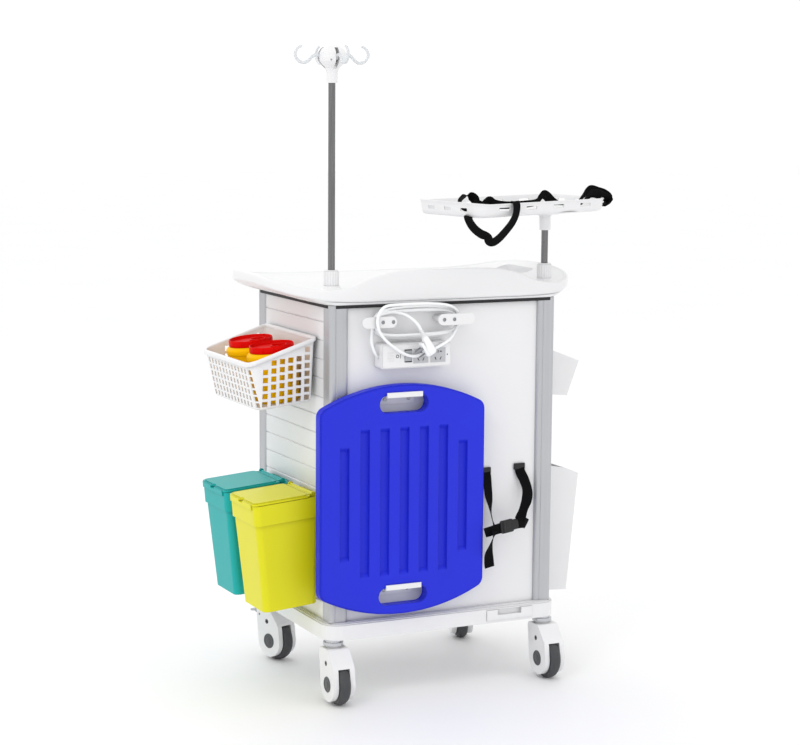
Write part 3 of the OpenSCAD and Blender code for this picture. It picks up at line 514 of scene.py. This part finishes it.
CORD_D = 7 * MM
LEAD = [(180, 231, 805), (186, 233, 812), (193, 234, 826), (198, 233, 846)]
FRONT = [
    (-12, 238, 852), (4, 254, 841), (32, 258, 827), (60, 257.5, 815), (88, 257, 806), (108, 259, 806),
    (130, 262, 814), (152, 264, 828), (173, 264, 844), (188, 264, 862), (195, 264, 880),
    (195, 263, 896), (188, 261, 911), (175, 256, 921), (156, 249, 924)]
TAIL = [(124, 238, 903), (117, 248, 900), (108, 263, 892), (99, 271, 882), (93, 273, 872)]
# Middle, half width, rise, drop and depth of the winding at the start of each turn
TURNS = [
    (84, 110, 30, 28, 231), (82, 108, 28, 29, 237), (80, 110, 32, 37, 222), (87, 118, 47, 33, 250),
    (82, 107, 40, 31, 228), (82, 107, 40, 31, 236)]


def winding(first, last):
    """Turns round both hooks, a cord's width apart, from one count of turns to another."""
    out, steps = [], 40
    for k in range(int(first * steps), int(last * steps)):
        t = k / steps
        i = int(t)
        share = t - i
        middle, a, rise, drop, y = (u + (v - u) * share for u, v in zip(TURNS[i], TURNS[i + 1]))
        angle = 2 * math.pi * share
        c, s = math.cos(angle), math.sin(angle)
        bend = (rise + drop) / 2
        x = middle + (a - bend) * math.tanh(2.2 * c) + bend * c
        z = 880 + (rise if s > 0 else drop) * s
        out.append(Vector((x, y + 0.6 * math.sin(5.3 * angle + i), z + 0.7 * math.sin(3.1 * angle + 2 * i))))
    return out


def make_cord():
    route = (smooth_line(LEAD, 3) + winding(0.03, 2.56) + smooth_line(FRONT, 3)
             + winding(3.2, 4.18) + smooth_line(TAIL, 3))
    points = [p * MM for p in route]
    for _ in range(2):
        points = [points[0]] + [
            0.25 * a + 0.5 * b + 0.25 * c for a, b, c in zip(points, points[1:], points[2:])
        ] + [points[-1]]
    data = bpy.data.curves.new("power_cord", "CURVE")
    data.dimensions = "3D"
    spline = data.splines.new("POLY")
    spline.points.add(len(points) - 1)
    for target, p in zip(spline.points, points):
        target.co = (*p, 1)
    data.bevel_depth = CORD_D / 2
    data.bevel_resolution = 3
    data.use_fill_caps = True
    cord = bpy.data.objects.new("power_cord", data)
    scene.collection.objects.link(cord)
    for s in data.splines:
        s.use_smooth = True
    finish_with(cord, "cord_white")
    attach(cord, "trolley")
    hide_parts("cord_lead", "cord_coil", "cord_front_turn", "cord_tail")
    return cord, sum((b - a).length for a, b in zip(points, points[1:]))


cord, cord_length = make_cord()


def make_plug():
    """A moulded three-pin plug that hangs from the cord, its pins towards the lower left."""
    place = moved(92, 273, 870) @ turned(30, "Y")
    ribs = [(3.2, 3), (3.4, 1.5)]
    for k in range(5):
        z = -1 - 4 * k
        r = 3.9 + 0.5 * k
        ribs += [(r, z), (r, z - 2.2), (r - 0.9, z - 2.6), (r - 0.9, z - 3.8)]
    ribs += [(6.4, -21), (6.6, -25)]
    relief = lathe(in_mm(ribs), 24, place)
    grip = []
    sections = [
        (-20, 10, 10, 0), (-23, 13, 13, 0), (-30, 16, 16, 1), (-40, 20, 18, 2),
        (-52, 24, 19, 3), (-60, 25, 19, 3), (-65, 23, 17, 3), (-67, 17, 12, 3)]
    for z, w, d, x in sections:
        grip += [
            place @ (Vector((x + w / 2 * math.copysign(abs(math.cos(a)) ** 0.6, math.cos(a)),
                             d / 2 * math.copysign(abs(math.sin(a)) ** 0.6, math.sin(a)), z)) * MM)
            for a in (2 * math.pi * k / 28 for k in range(28))
        ]
    body = (grip, ring_faces(len(sections), 28))
    head = rounded_box((Vector((8, 20, 34)) * MM), 4 * MM, place @ moved(15, 0, -47))
    plug = mesh_object("plug_body", *joined([relief, body, head]), "plug_white", "trolley")
    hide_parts("mains_plug")
    pins = []
    for turn, dy, dz in ((28, 6, 6), (-28, -6, 6), (90, 0, -9)):
        at = place @ moved(26, dy, -47 + dz) @ turned(turn, "X")
        pins.append(rounded_box((Vector((18, 1.6, 6.3)) * MM), 0.7 * MM, at, 2))
    metal = mesh_object("plug_pins", *joined(pins), "screw_steel", "trolley")
    return [plug, metal]


plug_pieces = make_plug()


# ---------- Webbing ----------

def strap(name, route, width, body, n=6, thick=1.6, curl=0.6):
    """A flat webbing strap along a route of (point, direction of its width), with UVs in metres.

    It returns the strap and its length.
    """
    line = [p * MM for p in smooth_line([r[0] for r in route], n)]
    across = [v.normalized() for v in smooth_line([r[1] for r in route], n)]
    columns = 8
    points, along, faces, where = [], 0.0, [], []
    rows = len(line)
    for i, p in enumerate(line):
        t = (line[min(i + 1, rows - 1)] - line[max(i - 1, 0)]).normalized()
        s = (across[i] - t * across[i].dot(t)).normalized()
        up = s.cross(t)
        if i:
            along += (p - line[i - 1]).length
        for side in (1, -1):
            for j in range(columns + 1):
                u = j / columns - 0.5
                edge = 1 - 0.35 * (abs(u) > 0.49)
                lift = curl * MM * (4 * u * u) + side * thick / 2 * MM * edge
                points.append(p + s * u * width * MM + up * lift)
                where.append((u * width * MM, along))
    per = 2 * (columns + 1)

    def at(i, side, j):
        return i * per + (0 if side > 0 else columns + 1) + j

    for i in range(rows - 1):
        for j in range(columns):
            faces.append((at(i, 1, j), at(i, 1, j + 1), at(i + 1, 1, j + 1), at(i + 1, 1, j)))
            faces.append((at(i, -1, j), at(i + 1, -1, j), at(i + 1, -1, j + 1), at(i, -1, j + 1)))
        faces.append((at(i, 1, 0), at(i + 1, 1, 0), at(i + 1, -1, 0), at(i, -1, 0)))
        faces.append((at(i, 1, columns), at(i, -1, columns), at(i + 1, -1, columns), at(i + 1, 1, columns)))
    for i in (0, rows - 1):
        for j in range(columns):
            faces.append((at(i, 1, j), at(i, 1, j + 1), at(i, -1, j + 1), at(i, -1, j)))
    obj = mesh_object(name, points, faces, "webbing", body, smooth=50)
    layer = obj.data.uv_layers.new(name="UVMap")
    for loop in obj.data.loops:
        layer.data[loop.index].uv = where[loop.vertex_index]
    return obj, along


SIDE, UP, DEPTH = (1, 0, 0), (0, 0, 1), (0, 1, 0)
BACK = 211  # outside of the back panel


def cylinder_straps():
    legs = {
        "strap_leg_inner": [
            ((-112, BACK + 2, 517), SIDE), ((-113, BACK + 7, 502), SIDE),
            ((-114, BACK + 12, 480), (1, 0.25, 0)),
            ((-112, BACK + 22, 455), (1, 0.45, 0)), ((-109, BACK + 34, 432), (0.7, 0.9, 0)),
            ((-108, BACK + 46, 412), (0.45, 1, 0.1)), ((-110, BACK + 56, 392), (0.6, 0.6, 0.3))],
        "strap_leg_outer": [
            ((-204, BACK + 2, 521), SIDE), ((-205, BACK + 6, 508), (1, -0.15, 0)),
            ((-212, BACK + 14, 488), (1, -0.25, 0.1)), ((-214, BACK + 26, 465), (1, -0.3, 0.2)),
            ((-206, BACK + 38, 444), (0.8, -0.9, 0.2)), ((-192, BACK + 48, 424), (0.3, -1, 0.2)),
            ((-178, BACK + 56, 402), (0.2, -0.6, 1))],
        "strap_crossing": [
            ((-88, BACK + 50, 377), (0, 0.3, 1)), ((-106, BACK + 57, 383), (0, 0.2, 1)),
            ((-128, BACK + 62, 389), UP), ((-150, BACK + 63, 393), UP), ((-172, BACK + 62, 396), UP),
            ((-190, BACK + 58, 395), (0.1, 0, 1)), ((-199, BACK + 52, 390), (0.2, 0.4, 1))],
        "strap_tail": [
            ((-112, BACK + 60, 384), (1, 0, 0.5)), ((-107, BACK + 58, 368), (0.6, 0.9, 0.1)),
            ((-102, BACK + 54, 350), (0.8, 0.8, 0)), ((-100, BACK + 48, 328), (1, 0.3, 0)),
            ((-104, BACK + 42, 306), SIDE), ((-107, BACK + 40, 291), SIDE)],
    }
    for name, route in legs.items():
        obj, long = strap(name, route, 25, "trolley")
    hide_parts("cylinder_strap")
    anchors = []
    for x, z in ((-112, 517), (-204, 521)):
        anchors.append(rounded_box(Vector((30, 15, 2.4)) * MM, 2 * MM,
                                   moved(x, BACK + 3.2, z)
                                   @ turned(90, "X"), 3))
    mesh_object("strap_anchors", *joined(anchors), "webbing", "trolley", own="dark_parts_and_painted_shade")
    buckle_at = moved(-139, BACK + 64, 392) @ turned(8, "Y")
    flat = turned(90, "X")
    frame_part = rounded_box(Vector((34, 31, 7)) * MM, 4 * MM, buckle_at @ flat, 4)
    tongue = rounded_box(Vector((20, 22, 6)) * MM, 5 * MM,
                         buckle_at @ moved(-20, 1, 0) @ flat, 4)
    bar = lathe([(2.6 * MM, -13 * MM), (3.2 * MM, -11 * MM), (3.2 * MM, 11 * MM), (2.6 * MM, 13 * MM)], 16,
                buckle_at @ moved(9, 4, 0))
    mesh_object("strap_buckle", *joined([frame_part, tongue, bar]), "webbing", "trolley", own="dark_parts_and_painted_shade")


cylinder_straps()


# ---------- Worktop ----------

# Half of the rim from the middle of the back round to the middle of the front:
# x, y, height of the rim's top and height of its outer underside.
RIM_HALF = [
    (0, 228, 1001, 931), (75, 228, 1001, 931), (140, 228, 997, 931), (195, 228, 984, 931),
    (245, 227, 965, 932), (288, 222, 960, 934), (320, 206, 961, 938), (354, 168, 966, 944),
    (378, 124, 972, 951), (390, 75, 978, 957), (394, 0, 984, 961), (393, -80, 985, 961),
    (383, -150, 982, 956), (358, -205, 976, 948), (306, -243, 966, 938),
    (220, -256, 960, 932), (110, -262, 959, 931)]
DECK_Z = 924  # underside, on the cabinet
FLOOR_Z = 957  # sunk floor of the top


def closed_line(points, n):
    m = len(points)
    return [
        [spline_at(*(points[(i + d) % m][c] for d in (-1, 0, 1, 2)), k / n) for c in range(len(points[0]))]
        for i in range(m)
        for k in range(n)
    ]


def make_worktop():
    """The moulded top: a flare from the cabinet up to a wavy rim, a rolled edge and a sunk floor."""
    mirrored = [(-x, y, a, b) for x, y, a, b in RIM_HALF[:0:-1]]
    rim = closed_line(RIM_HALF + [(0, -263, 958, 931)] + mirrored, 6)
    n = len(rim)

    def outward(i):
        a, b = rim[i - 1], rim[(i + 1) % n]
        v = Vector((-(b[1] - a[1]), b[0] - a[0]))
        return v.normalized()

    def inset(i, by, z):
        p = Vector(rim[i][:2]) + by * outward(i)
        return Vector((p.x, p.y, z))

    def between(i, w, d, r, share, z):
        x, y = rim[i][:2]
        c = Vector((max(-w / 2 + r, min(w / 2 - r, x)), max(-d / 2 + r, min(d / 2 - r, y))))
        c += r * (Vector((x, y)) - c).normalized()
        p = c + share * (Vector((x, y)) - c)
        return Vector((p.x, p.y, z))

    def profile(i):
        top, low = rim[i][2:]
        under = [
            between(i, 528, 384, 8, 0, DECK_Z), between(i, 584, 440, 22, 0, DECK_Z),
            between(i, 588, 444, 22, 0, DECK_Z + 1.5)]
        flare = [
            between(i, 588, 444, 22, s, DECK_Z + h * (low - DECK_Z))
            for s, h in ((0.12, 0.1), (0.35, 0.26), (0.6, 0.5), (0.8, 0.74))]
        skirt = [
            inset(i, -3.5, low - 1), inset(i, -1.2, low + 0.6),
            inset(i, -0.3, low + 3), inset(i, 0, low + 6),
            inset(i, 0.3, (low + top) / 2), inset(i, 0, top - 6)]
        roll = [
            inset(i, -4.5 + 4.5 * math.cos(a), top - 4.5 + 4.5 * math.sin(a))
            for a in (math.radians(d) for d in (20, 45, 70, 95, 120, 150))]
        inner = [
            between(i, 570, 418, 30, s, FLOOR_Z + h * (top - FLOOR_Z))
            for s, h in ((0.72, 0.72), (0.5, 0.46), (0.3, 0.24), (0.15, 0.09), (0.04, 0.015))]
        return under + flare + skirt + roll + inner + [between(i, 530, 378, 24, 0, FLOOR_Z)]

    rings = [profile(i) for i in range(n)]
    levels = len(rings[0])
    points = [rings[i][k] * MM for k in range(levels) for i in range(n)]
    top = mesh_object("worktop_moulding", points, ring_faces(levels, n), "abs_white", "trolley")
    for sx in (-1, 1):
        place = moved(sx * 333, -59.3, 969)
        cut(top, *rounded_box(Vector((38, 150, 90)) * MM, 18.9 * MM, place, 8))
        bore = lathe([(8.7 * MM, 0.9), (8.7 * MM, 1.02)], 32, Matrix.Translation((sx * 0.277, 0.19, 0)))
        cut(top, *bore)
    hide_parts("worktop")
    # Painted shadow: a thin near-black band where the worktop meets the cabinet.
    shadow_band = rounded_box(Vector((585.6, 441.6, 3)) * MM, 20 * MM, Matrix.Translation((0, 0, 0.9246)), 6)
    mesh_object("worktop_shadow_band", *shadow_band, "grey_plastic", "trolley", own="dark_parts_and_painted_shade")
    foot = [(8.7, 950), (31, 950), (31, 957.5), (27, 959), (22.5, 961.5), (20, 964.5), (19.2, 966.5),
            (18.2, 967.8), (16, 968), (8.7, 968)]
    for side, x in (("right", 277), ("left", -277)):
        p, f = lathe(in_mm(foot), 40, Matrix.Translation((x * MM, 0.19, 0)))
        mesh_object("pole_socket_" + side, p, f[:-2], "abs_white", "trolley")


make_worktop()


# ---------- Basket ----------

# Where the basket's rim meets the rail: its two ends along Y, its height and its distance out
BASKET_Y0 = -155
BASKET_Y1 = 146
BASKET_Z = 844
BASKET_X = 298
# Outline of the basket seen along Y: back top, outer top, outer bottom, back bottom
BASKET_SIDE = ((0, 0), (162, -54), (139, -164), (5, -148))


def basket_ring(level, inset, rise=0.0, out=0.0):
    """A rounded outline at a level of the basket, from 0 at its bottom to 1 at its top."""
    (xt0, zt0), (xt1, zt1), (xb1, zb1), (xb0, zb0) = BASKET_SIDE
    back = Vector((xb0 + (xt0 - xb0) * level, zb0 + (zt0 - zb0) * level))
    front = Vector((xb1 + (xt1 - xb1) * level, zb1 + (zt1 - zb1) * level))
    taper = 7 * (1 - level)
    half = (BASKET_Y1 - BASKET_Y0) / 2 - inset + out - taper
    mid = (BASKET_Y0 + BASKET_Y1) / 2
    long = (front - back).length
    points = []
    for su, sv, start, r in ((1, 1, 0, 24), (-1, 1, 90, 9), (-1, -1, 180, 9), (1, -1, 270, 24)):
        r = max(r - inset + out, 1)
        for k in range(9):
            a = math.radians(start + 90 * k / 8)
            u = (long - inset + out - r if su > 0 else inset - out + r) + r * math.cos(a)
            v = sv * (half - r) + r * math.sin(a)
            p = back + (front - back) * (u / long)
            points.append(Vector((BASKET_X + p.x, mid + v, BASKET_Z + p.y + rise)) * MM)
    return points


def make_basket():
    levels = [(0, 7, 0), (0, 3.5, 0.8), (0.02, 1, 1), (0.06, 0, 0), (0.3, 0, 0), (0.6, 0, 0), (0.97, 0, 0),
              (0.97, 2.6, 0), (0.6, 2.6, 0), (0.3, 2.6, 0), (0.08, 3, 0), (0.05, 6, 1.2), (0.04, 9, 2.4)]
    rings = [basket_ring(level, inset, rise) for level, inset, rise in levels]
    per = len(rings[0])
    points = [p for r in rings for p in r]
    shell = mesh_object("basket_shell", points, ring_faces(len(rings), per), "abs_white", "sharps_basket")
    holes = []
    for i in range(6):
        for j in range(7):
            x, z = 18 + 20.6 * i, -146 + 18.6 * j - 0.11 * (18 + 20.6 * i) + 11
            if -z < x / 3 + 15 or (j == 6 and i > 3):
                continue
            place = moved(BASKET_X + x, -4.5, BASKET_Z + z)
            holes.append(rounded_box(Vector((13.0, 420, 12.4)) * MM, 1.6 * MM, place, 2))
    cut(shell, *joined(holes))
    slots = []
    for k in range(14):
        for j in range(6):
            place = moved(BASKET_X + 150, -140 + 20.8 * k, BASKET_Z - 74 - 15.4 * j)
            slots.append(rounded_box(Vector((50, 8.5, 10.8)) * MM, 1.5 * MM, place, 2))
    cut(shell, *joined(slots))
    section = [(-1.6, -4), (-1.6, 0.6), (-0.4, 2.2), (2, 3), (4.4, 2.6), (5.8, 0.8), (6.1, -2), (5.9, -6.4),
               (4.8, -7.2), (4.1, -6), (3.8, -1.6), (2, -0.6), (0.8, -4)]
    rolls = [basket_ring(1.0, 1.2, rise, out) for out, rise in section]
    points = [p for r in rolls for p in r]
    faces = [
        (i * per + j, i * per + (j + 1) % per, (i + 1) % len(rolls) * per + (j + 1) % per,
         (i + 1) % len(rolls) * per + j)
        for i in range(len(rolls)) for j in range(per)
    ]
    mesh_object("basket_rim", points, faces, "abs_white", "sharps_basket", smooth=60)
    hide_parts("sharps_basket")
    tongue = rounded_box(Vector((14, 180, 4)) * MM, 1.5 * MM, moved(294, -4.5, 840))
    drop = rounded_box(Vector((2.3, 180, 16)) * MM, 0.9 * MM, moved(291.2, -4.5, 833))
    mesh_object("basket_tongue", *joined([tongue, drop]), "abs_white", "sharps_basket")


make_basket()


# ---------- Sharps tubs ----------

def make_tubs():
    """Yellow tubs with a shoulder, and red screw lids with an off-centre opening under a raised rim."""
    body = [
        (2, 0), (49, 0), (51.5, 1.2), (52.3, 3), (53.6, 26), (53.2, 27), (53.3, 29), (54, 30), (57.6, 98),
        (58.2, 101), (59.6, 101.8), (60, 103.5), (60, 110.5), (59.2, 112.8), (57, 115), (54.5, 117.2),
        (53, 118.6), (50, 119), (49.5, 117), (49.5, 108), (53, 102), (47, 4), (2, 3)]
    lid = [
        (2, 127), (45, 127), (48.2, 127.8), (49, 130), (49.3, 133.6), (50.4, 134.4), (51.5, 133.8),
        (52, 132), (52, 121.5), (51.4, 119.4), (49.1, 119.4), (49.1, 111.5), (46.5, 111.5),
        (46.5, 123.5), (2, 123.5)]
    for k, y in enumerate((75, -55), 1):
        place = (moved(362, y, 692.7) @ turned(6.6, "Y"))
        p, f = lathe(in_mm(body), 72, place)
        tub = mesh_object("tub_shell_%d" % k, p, f, "yellow_plastic", "sharps_tub_%d" % k)
        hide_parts("sharps_tub_%d" % k)
        p, f = lathe(in_mm(lid), 72, place)
        cap = mesh_object("lid_shell_%d" % k, p, f, "red_plastic", "sharps_lid_%d" % k)
        at = place @ moved(-18, 0, 0)
        cut(cap, *lathe([(17 * MM, 0.1), (17 * MM, 0.14)], 40, at))
        for turn in range(12):
            notch = (place @ turned(30 * turn + 15, "Z")
                     @ moved(53.6, 0, 127))
            cut(cap, *lathe([(2.6 * MM, -0.012), (2.6 * MM, 0.012)], 12, notch))
        lip = [(17, 123.6), (17, 129.6), (17.6, 130.4), (19, 130.4), (19.6, 129.6), (20, 127.4), (20, 126.6)]
        p, f = lathe(in_mm(lip), 48, at)
        mesh_object("lid_mouth_%d" % k, p, f[:-2], "red_plastic", "sharps_lid_%d" % k)
        flap = [(1, 119.5), (16.6, 119.5), (16.8, 120.6), (16.2, 121.4), (3, 122), (1, 122)]
        p, f = lathe(in_mm(flap), 40, at)
        mesh_object("lid_flap_%d" % k, p, f, "yellow_plastic", "sharps_lid_%d" % k)
        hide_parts("sharps_lid_%d" % k)


make_tubs()


# ---------- Round tubes ----------

def round_tube(route, radii, sides=14):
    """Points and faces of a smooth tube along a line, its radius changing along the way."""
    line = smooth_line(route, 6)
    sizes = smooth_line([(r, 0, 0) for r in radii], 6)
    points = []
    normal = Vector((0, 0, 1))
    for i, p in enumerate(line):
        t = (line[min(i + 1, len(line) - 1)] - line[max(i - 1, 0)]).normalized()
        if i == 0:
            normal = t.orthogonal()
        normal = (normal - t * normal.dot(t)).normalized()
        other = t.cross(normal)
        points += [
            p + sizes[i].x * (math.cos(a) * normal + math.sin(a) * other)
            for a in (2 * math.pi * k / sides for k in range(sides))
        ]
    return points, ring_faces(len(line), sides)


def make_iv_hooks():
    """Four curled hooks of clear plastic, each pivoted in its slot of the head."""
    curl = [
        (25, 0), (33, 4), (42, 4.5), (50, -1), (57, -8), (66, -12.5),
        (76, -11.5), (84, -6), (89, 3), (88, 12), (82, 20), (73, 24)]
    thick = [4.6, 4.4, 4.0, 3.8, 3.7, 3.6, 3.6, 3.5, 3.4, 3.2, 3.0, 2.6]
    for k in range(4):
        place = (moved(277, 190, 1480)
                 @ turned(90 * k, "Z"))
        route = [place @ (Vector((x, 0, z)) * MM) for x, z in curl]
        tube = round_tube(route, [r * MM for r in thick])
        eye = lathe([(3 * MM, -3.4 * MM), (5.4 * MM, -3.4 * MM), (6 * MM, -2.6 * MM), (6 * MM, 2.6 * MM),
                     (5.4 * MM, 3.4 * MM), (3 * MM, 3.4 * MM)], 24,
                    place @ Matrix.Translation((0.025, 0, 0)) @ turned(90, "X"))
        hook = mesh_object("iv_hook_curl_%d" % (k + 1), *joined([tube, eye]), "clear_plastic",
                           "iv_hook_%d" % (k + 1))
        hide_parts("iv_hook_%d" % (k + 1))


make_iv_hooks()


# ---------- Casters ----------

def make_caster_trim():
    """Dark axle caps, and the little pocket above each lined in near-black as painted shade, on both cheeks
    of every caster.
    """
    casters = [(277, 206, 0), (-277, 206, 0), (266, -210, 18), (-266, -210, -18)]
    cap = [
        (3, -0.5), (18.4, -0.5), (18.4, 0.7), (17.6, 1.4), (15.5, 1.6),
        (15, 1.1), (9, 0.9), (8.4, 1.5), (7, 1.9), (2, 2.0)]
    pocket = [(1, -6), (5, -6), (5, -0.4), (6, 0.15), (5.4, 0.3), (4, -0.5), (1, -1)]
    for k, (x, y, turn) in enumerate(casters, 1):
        base = moved(x, y, 0) @ turned(turn, "Z")
        caps, shaded_pockets = [], []
        for s in (-1, 1):
            out = turned(90 * s, "Y")
            caps.append(lathe(in_mm(cap), 40, base @ moved(s * 27, 28, 50) @ out))
            shaded_pockets.append(lathe(in_mm(pocket), 24, base @ moved(s * 27, 20, 98) @ out))
        mesh_object("axle_caps_%d" % k, *joined(caps), "tyre_grey", "caster_fork_%d" % k, own="dark_cap")
        # Painted shade: the pockets are lined in near-black.
        mesh_object("pockets_%d" % k, *joined(shaded_pockets), "tyre_grey", "caster_fork_%d" % k, own="dark_parts_and_painted_shade")


make_caster_trim()


# ---------- Shelf ----------

TRAY = (Matrix.Translation((-0.277, 0.19, 1.1)) @ turned(9, "Z")
        @ turned(1.3, "Y") @ Matrix.Translation((0, 0, -1.1)))


def tray_ring(inset, z):
    """The tray's outline, pulled in by that much. Its far corners are tighter than its near ones."""
    points = []
    for su, sv, start, r in ((1, 1, 0, 40), (-1, 1, 90, 46), (-1, -1, 180, 40), (1, -1, 270, 22)):
        r = max(r - inset, 2)
        for k in range(13):
            a = math.radians(start + 90 * k / 12)
            x = 72.5 + su * (197.5 - inset - r) + r * math.cos(a)
            y = -25 + sv * (120 - inset - r) + r * math.sin(a)
            lift = 5 * max(0, (x - 200) / 70) ** 2 * (z > 1140)
            points.append(TRAY @ (Vector((x, y, z + lift)) * MM))
    return points


def make_shelf():
    profile = [
        (34, 1126), (16, 1126), (9, 1127.5), (5, 1131), (3, 1136), (1.6, 1145),
        (0.4, 1152), (-1.2, 1154.2), (-1.6, 1155.6), (-0.6, 1156.6), (1.6, 1156.7), (2.8, 1155.4),
        (3.4, 1151), (4.6, 1144), (6.4, 1137), (9.5, 1133), (15, 1132), (34, 1132)]
    rings = [tray_ring(inset, z) for inset, z in profile]
    tray = mesh_object("tray_shell", [p for r in rings for p in r], ring_faces(len(rings), len(rings[0])),
                       "abs_white", "shelf_tray", smooth=50)
    slots = [
        rounded_box(Vector((31, 270, 7.5)) * MM, 2.5 * MM, TRAY @ moved(x, -25, 1144.5))
        for x in (-47, 33, 113, 192)
    ] + [
        rounded_box(Vector((425, 26, 7.5)) * MM, 2.5 * MM, TRAY @ moved(72.5, y, 1144.5))
        for y in (-88, -25, 38)
    ]
    for slot in slots:
        cut(tray, *slot)
    under = [
        (8.2, 1082), (12.4, 1082), (13.2, 1083), (13.4, 1086), (13.4, 1112), (14.4, 1115.5),
        (18, 1117.5), (45, 1121.5), (84, 1125.6), (92, 1127), (92, 1129), (8.2, 1129)]
    p, f = lathe(in_mm(under), 48, TRAY)
    mesh_object("tray_sleeve", p, f[:-2], "abs_white", "shelf_tray")
    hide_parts("shelf_tray")


make_shelf()


# ---------- Shelf straps ----------

def make_tray_straps():
    spin = TRAY.to_3x3()

    def placed(route):
        return [((TRAY @ (Vector(p) * MM)) / MM, spin @ Vector(s)) for p, s in route]

    face, lean = (0, 0.6, 0.8), (0.2, 0.4, 1)
    routes = {
        "tray_strap_long": (22, [
            ((246, 44, 1158), face), ((228, 50, 1152), face),
            ((216, 52, 1158), lean), ((206, 53, 1163), lean),
            ((194, 56, 1155), (-0.2, 0.5, 1)), ((165, 64, 1151), face), ((120, 68, 1151), face),
            ((84, 66, 1153), face), ((66, 60, 1160), lean),
            ((50, 55, 1170), lean), ((36, 52, 1166), (-0.3, 0.4, 1)),
            ((18, 50, 1152), (-0.2, 0.7, 0.8)), ((-10, 50, 1143), DEPTH), ((-45, 50, 1144), (0, 1, 0.3)),
            ((-72, 48, 1156), (0.2, 0.7, 0.8)), ((-90, 46, 1170), lean), ((-104, 44, 1175), (0.1, 0.3, 1)),
            ((-124, 44, 1170), (-0.1, 0.4, 1)), ((-144, 44, 1164), (-0.3, 0.6, 1)),
            ((-156, 46, 1155), (-0.5, 0.8, 0.5)),
            ((-150, 50, 1145), (-0.2, 1, 0.2)), ((-134, 54, 1139), (0, 1, 0.1)), ((-118, 56, 1137), DEPTH)]),
        "tray_strap_bundle": (24, [
            ((222, 6, 1136), DEPTH), ((240, 6, 1144), (0.2, 1, 0.3)), ((256, 12, 1160), (0.4, 0.9, 0.3)),
            ((258, 22, 1172), (0.3, 0.8, -0.2)), ((246, 30, 1176), (-0.2, 0.8, 0.3)),
            ((236, 36, 1168), (-0.3, 0.7, 0.6)), ((232, 42, 1156), (0.1, 0.5, 0.9)),
            ((218, 48, 1150), (0.3, 0.5, 0.9)), ((200, 50, 1146), face)]),
        "tray_strap_end": (22, [
            ((-52, 66, 1142), (0, 1, 0.2)), ((-70, 66, 1154), (0.2, 0.6, 0.8)), ((-86, 66, 1166), lean),
            ((-104, 64, 1166), (0, 0.4, 1)), ((-128, 62, 1158), (-0.2, 0.5, 0.9)),
            ((-146, 60, 1150), (-0.3, 0.8, 0.6)), ((-142, 62, 1141), (0, 1, 0.3)),
            ((-120, 66, 1136), DEPTH)]),
        "tray_strap_hanging": (20, [
            ((160, 84, 1142), (1, 0, 0)), ((162, 90, 1158), (1, 0, 0)), ((164, 97, 1161), (1, 0, 0)),
            ((165, 103, 1152), (1, 0, 0)), ((168, 104, 1134), (1, 0.1, 0.1)),
            ((178, 104, 1116), (0.9, 0.1, 0.4)),
            ((194, 102, 1098), (0.8, 0.1, 0.6)), ((212, 99, 1081), (0.6, 0.1, 0.8)),
            ((226, 95, 1072), (0.2, 0.2, 1)), ((236, 92, 1074), (-0.5, 0.4, 0.9)),
            ((241, 92, 1085), (-0.4, 0.8, 0.6)),
            ((255, 84, 1092), (-0.6, 0.1, 0.9)), ((269, 76, 1106), (-0.9, 0.2, 0.4)),
            ((274, 66, 1122), (-1, 0.3, 0)), ((264, 52, 1130), (-1, 0.4, 0)),
            ((244, 46, 1130), (-0.8, 1, 0))]),
    }
    for name, (width, route) in routes.items():
        obj, long = strap(name, placed(route), width, "shelf_tray")
        if name == "tray_strap_long":
            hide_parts("tray_straps")


make_tray_straps()


# ---------- Floor and light ----------

def make_stage():
    bpy.ops.mesh.primitive_plane_add(size=60, location=(0, 0, 0))
    floor = bpy.context.active_object
    floor.name = "floor"
    f = Finish("floor", (0.93, 0.93, 0.935, 1), 0.6)
    f.mottled(1.5, 0.006)
    floor.data.materials.append(f.done(0.05))
    world = bpy.data.worlds.new("studio")
    world.use_nodes = True
    world.node_tree.nodes["Background"].inputs[0].default_value = (1, 1, 1, 1)
    world.node_tree.nodes["Background"].inputs[1].default_value = 1.07
    scene.world = world
    for name, place, aim, size, power in (
        ("key", (3.4, 2.2, 4.2), (0, 0, 0.6), 1.6, 34),
        ("fill", (-3.4, 3.0, 2.4), (0, 0, 0.8), 2.6, 4),
        ("front", (0.5, -3.6, 3.0), (0, 0, 0.8), 2.6, 12),
    ):
        data = bpy.data.lights.new(name, "AREA")
        data.energy, data.size = power, size
        lamp = bpy.data.objects.new(name, data)
        scene.collection.objects.link(lamp)
        lamp.location = place
        lamp.rotation_euler = (Vector(aim) - Vector(place)).to_track_quat("-Z", "Y").to_euler()


make_stage()
scene.view_settings.view_transform = "Standard"
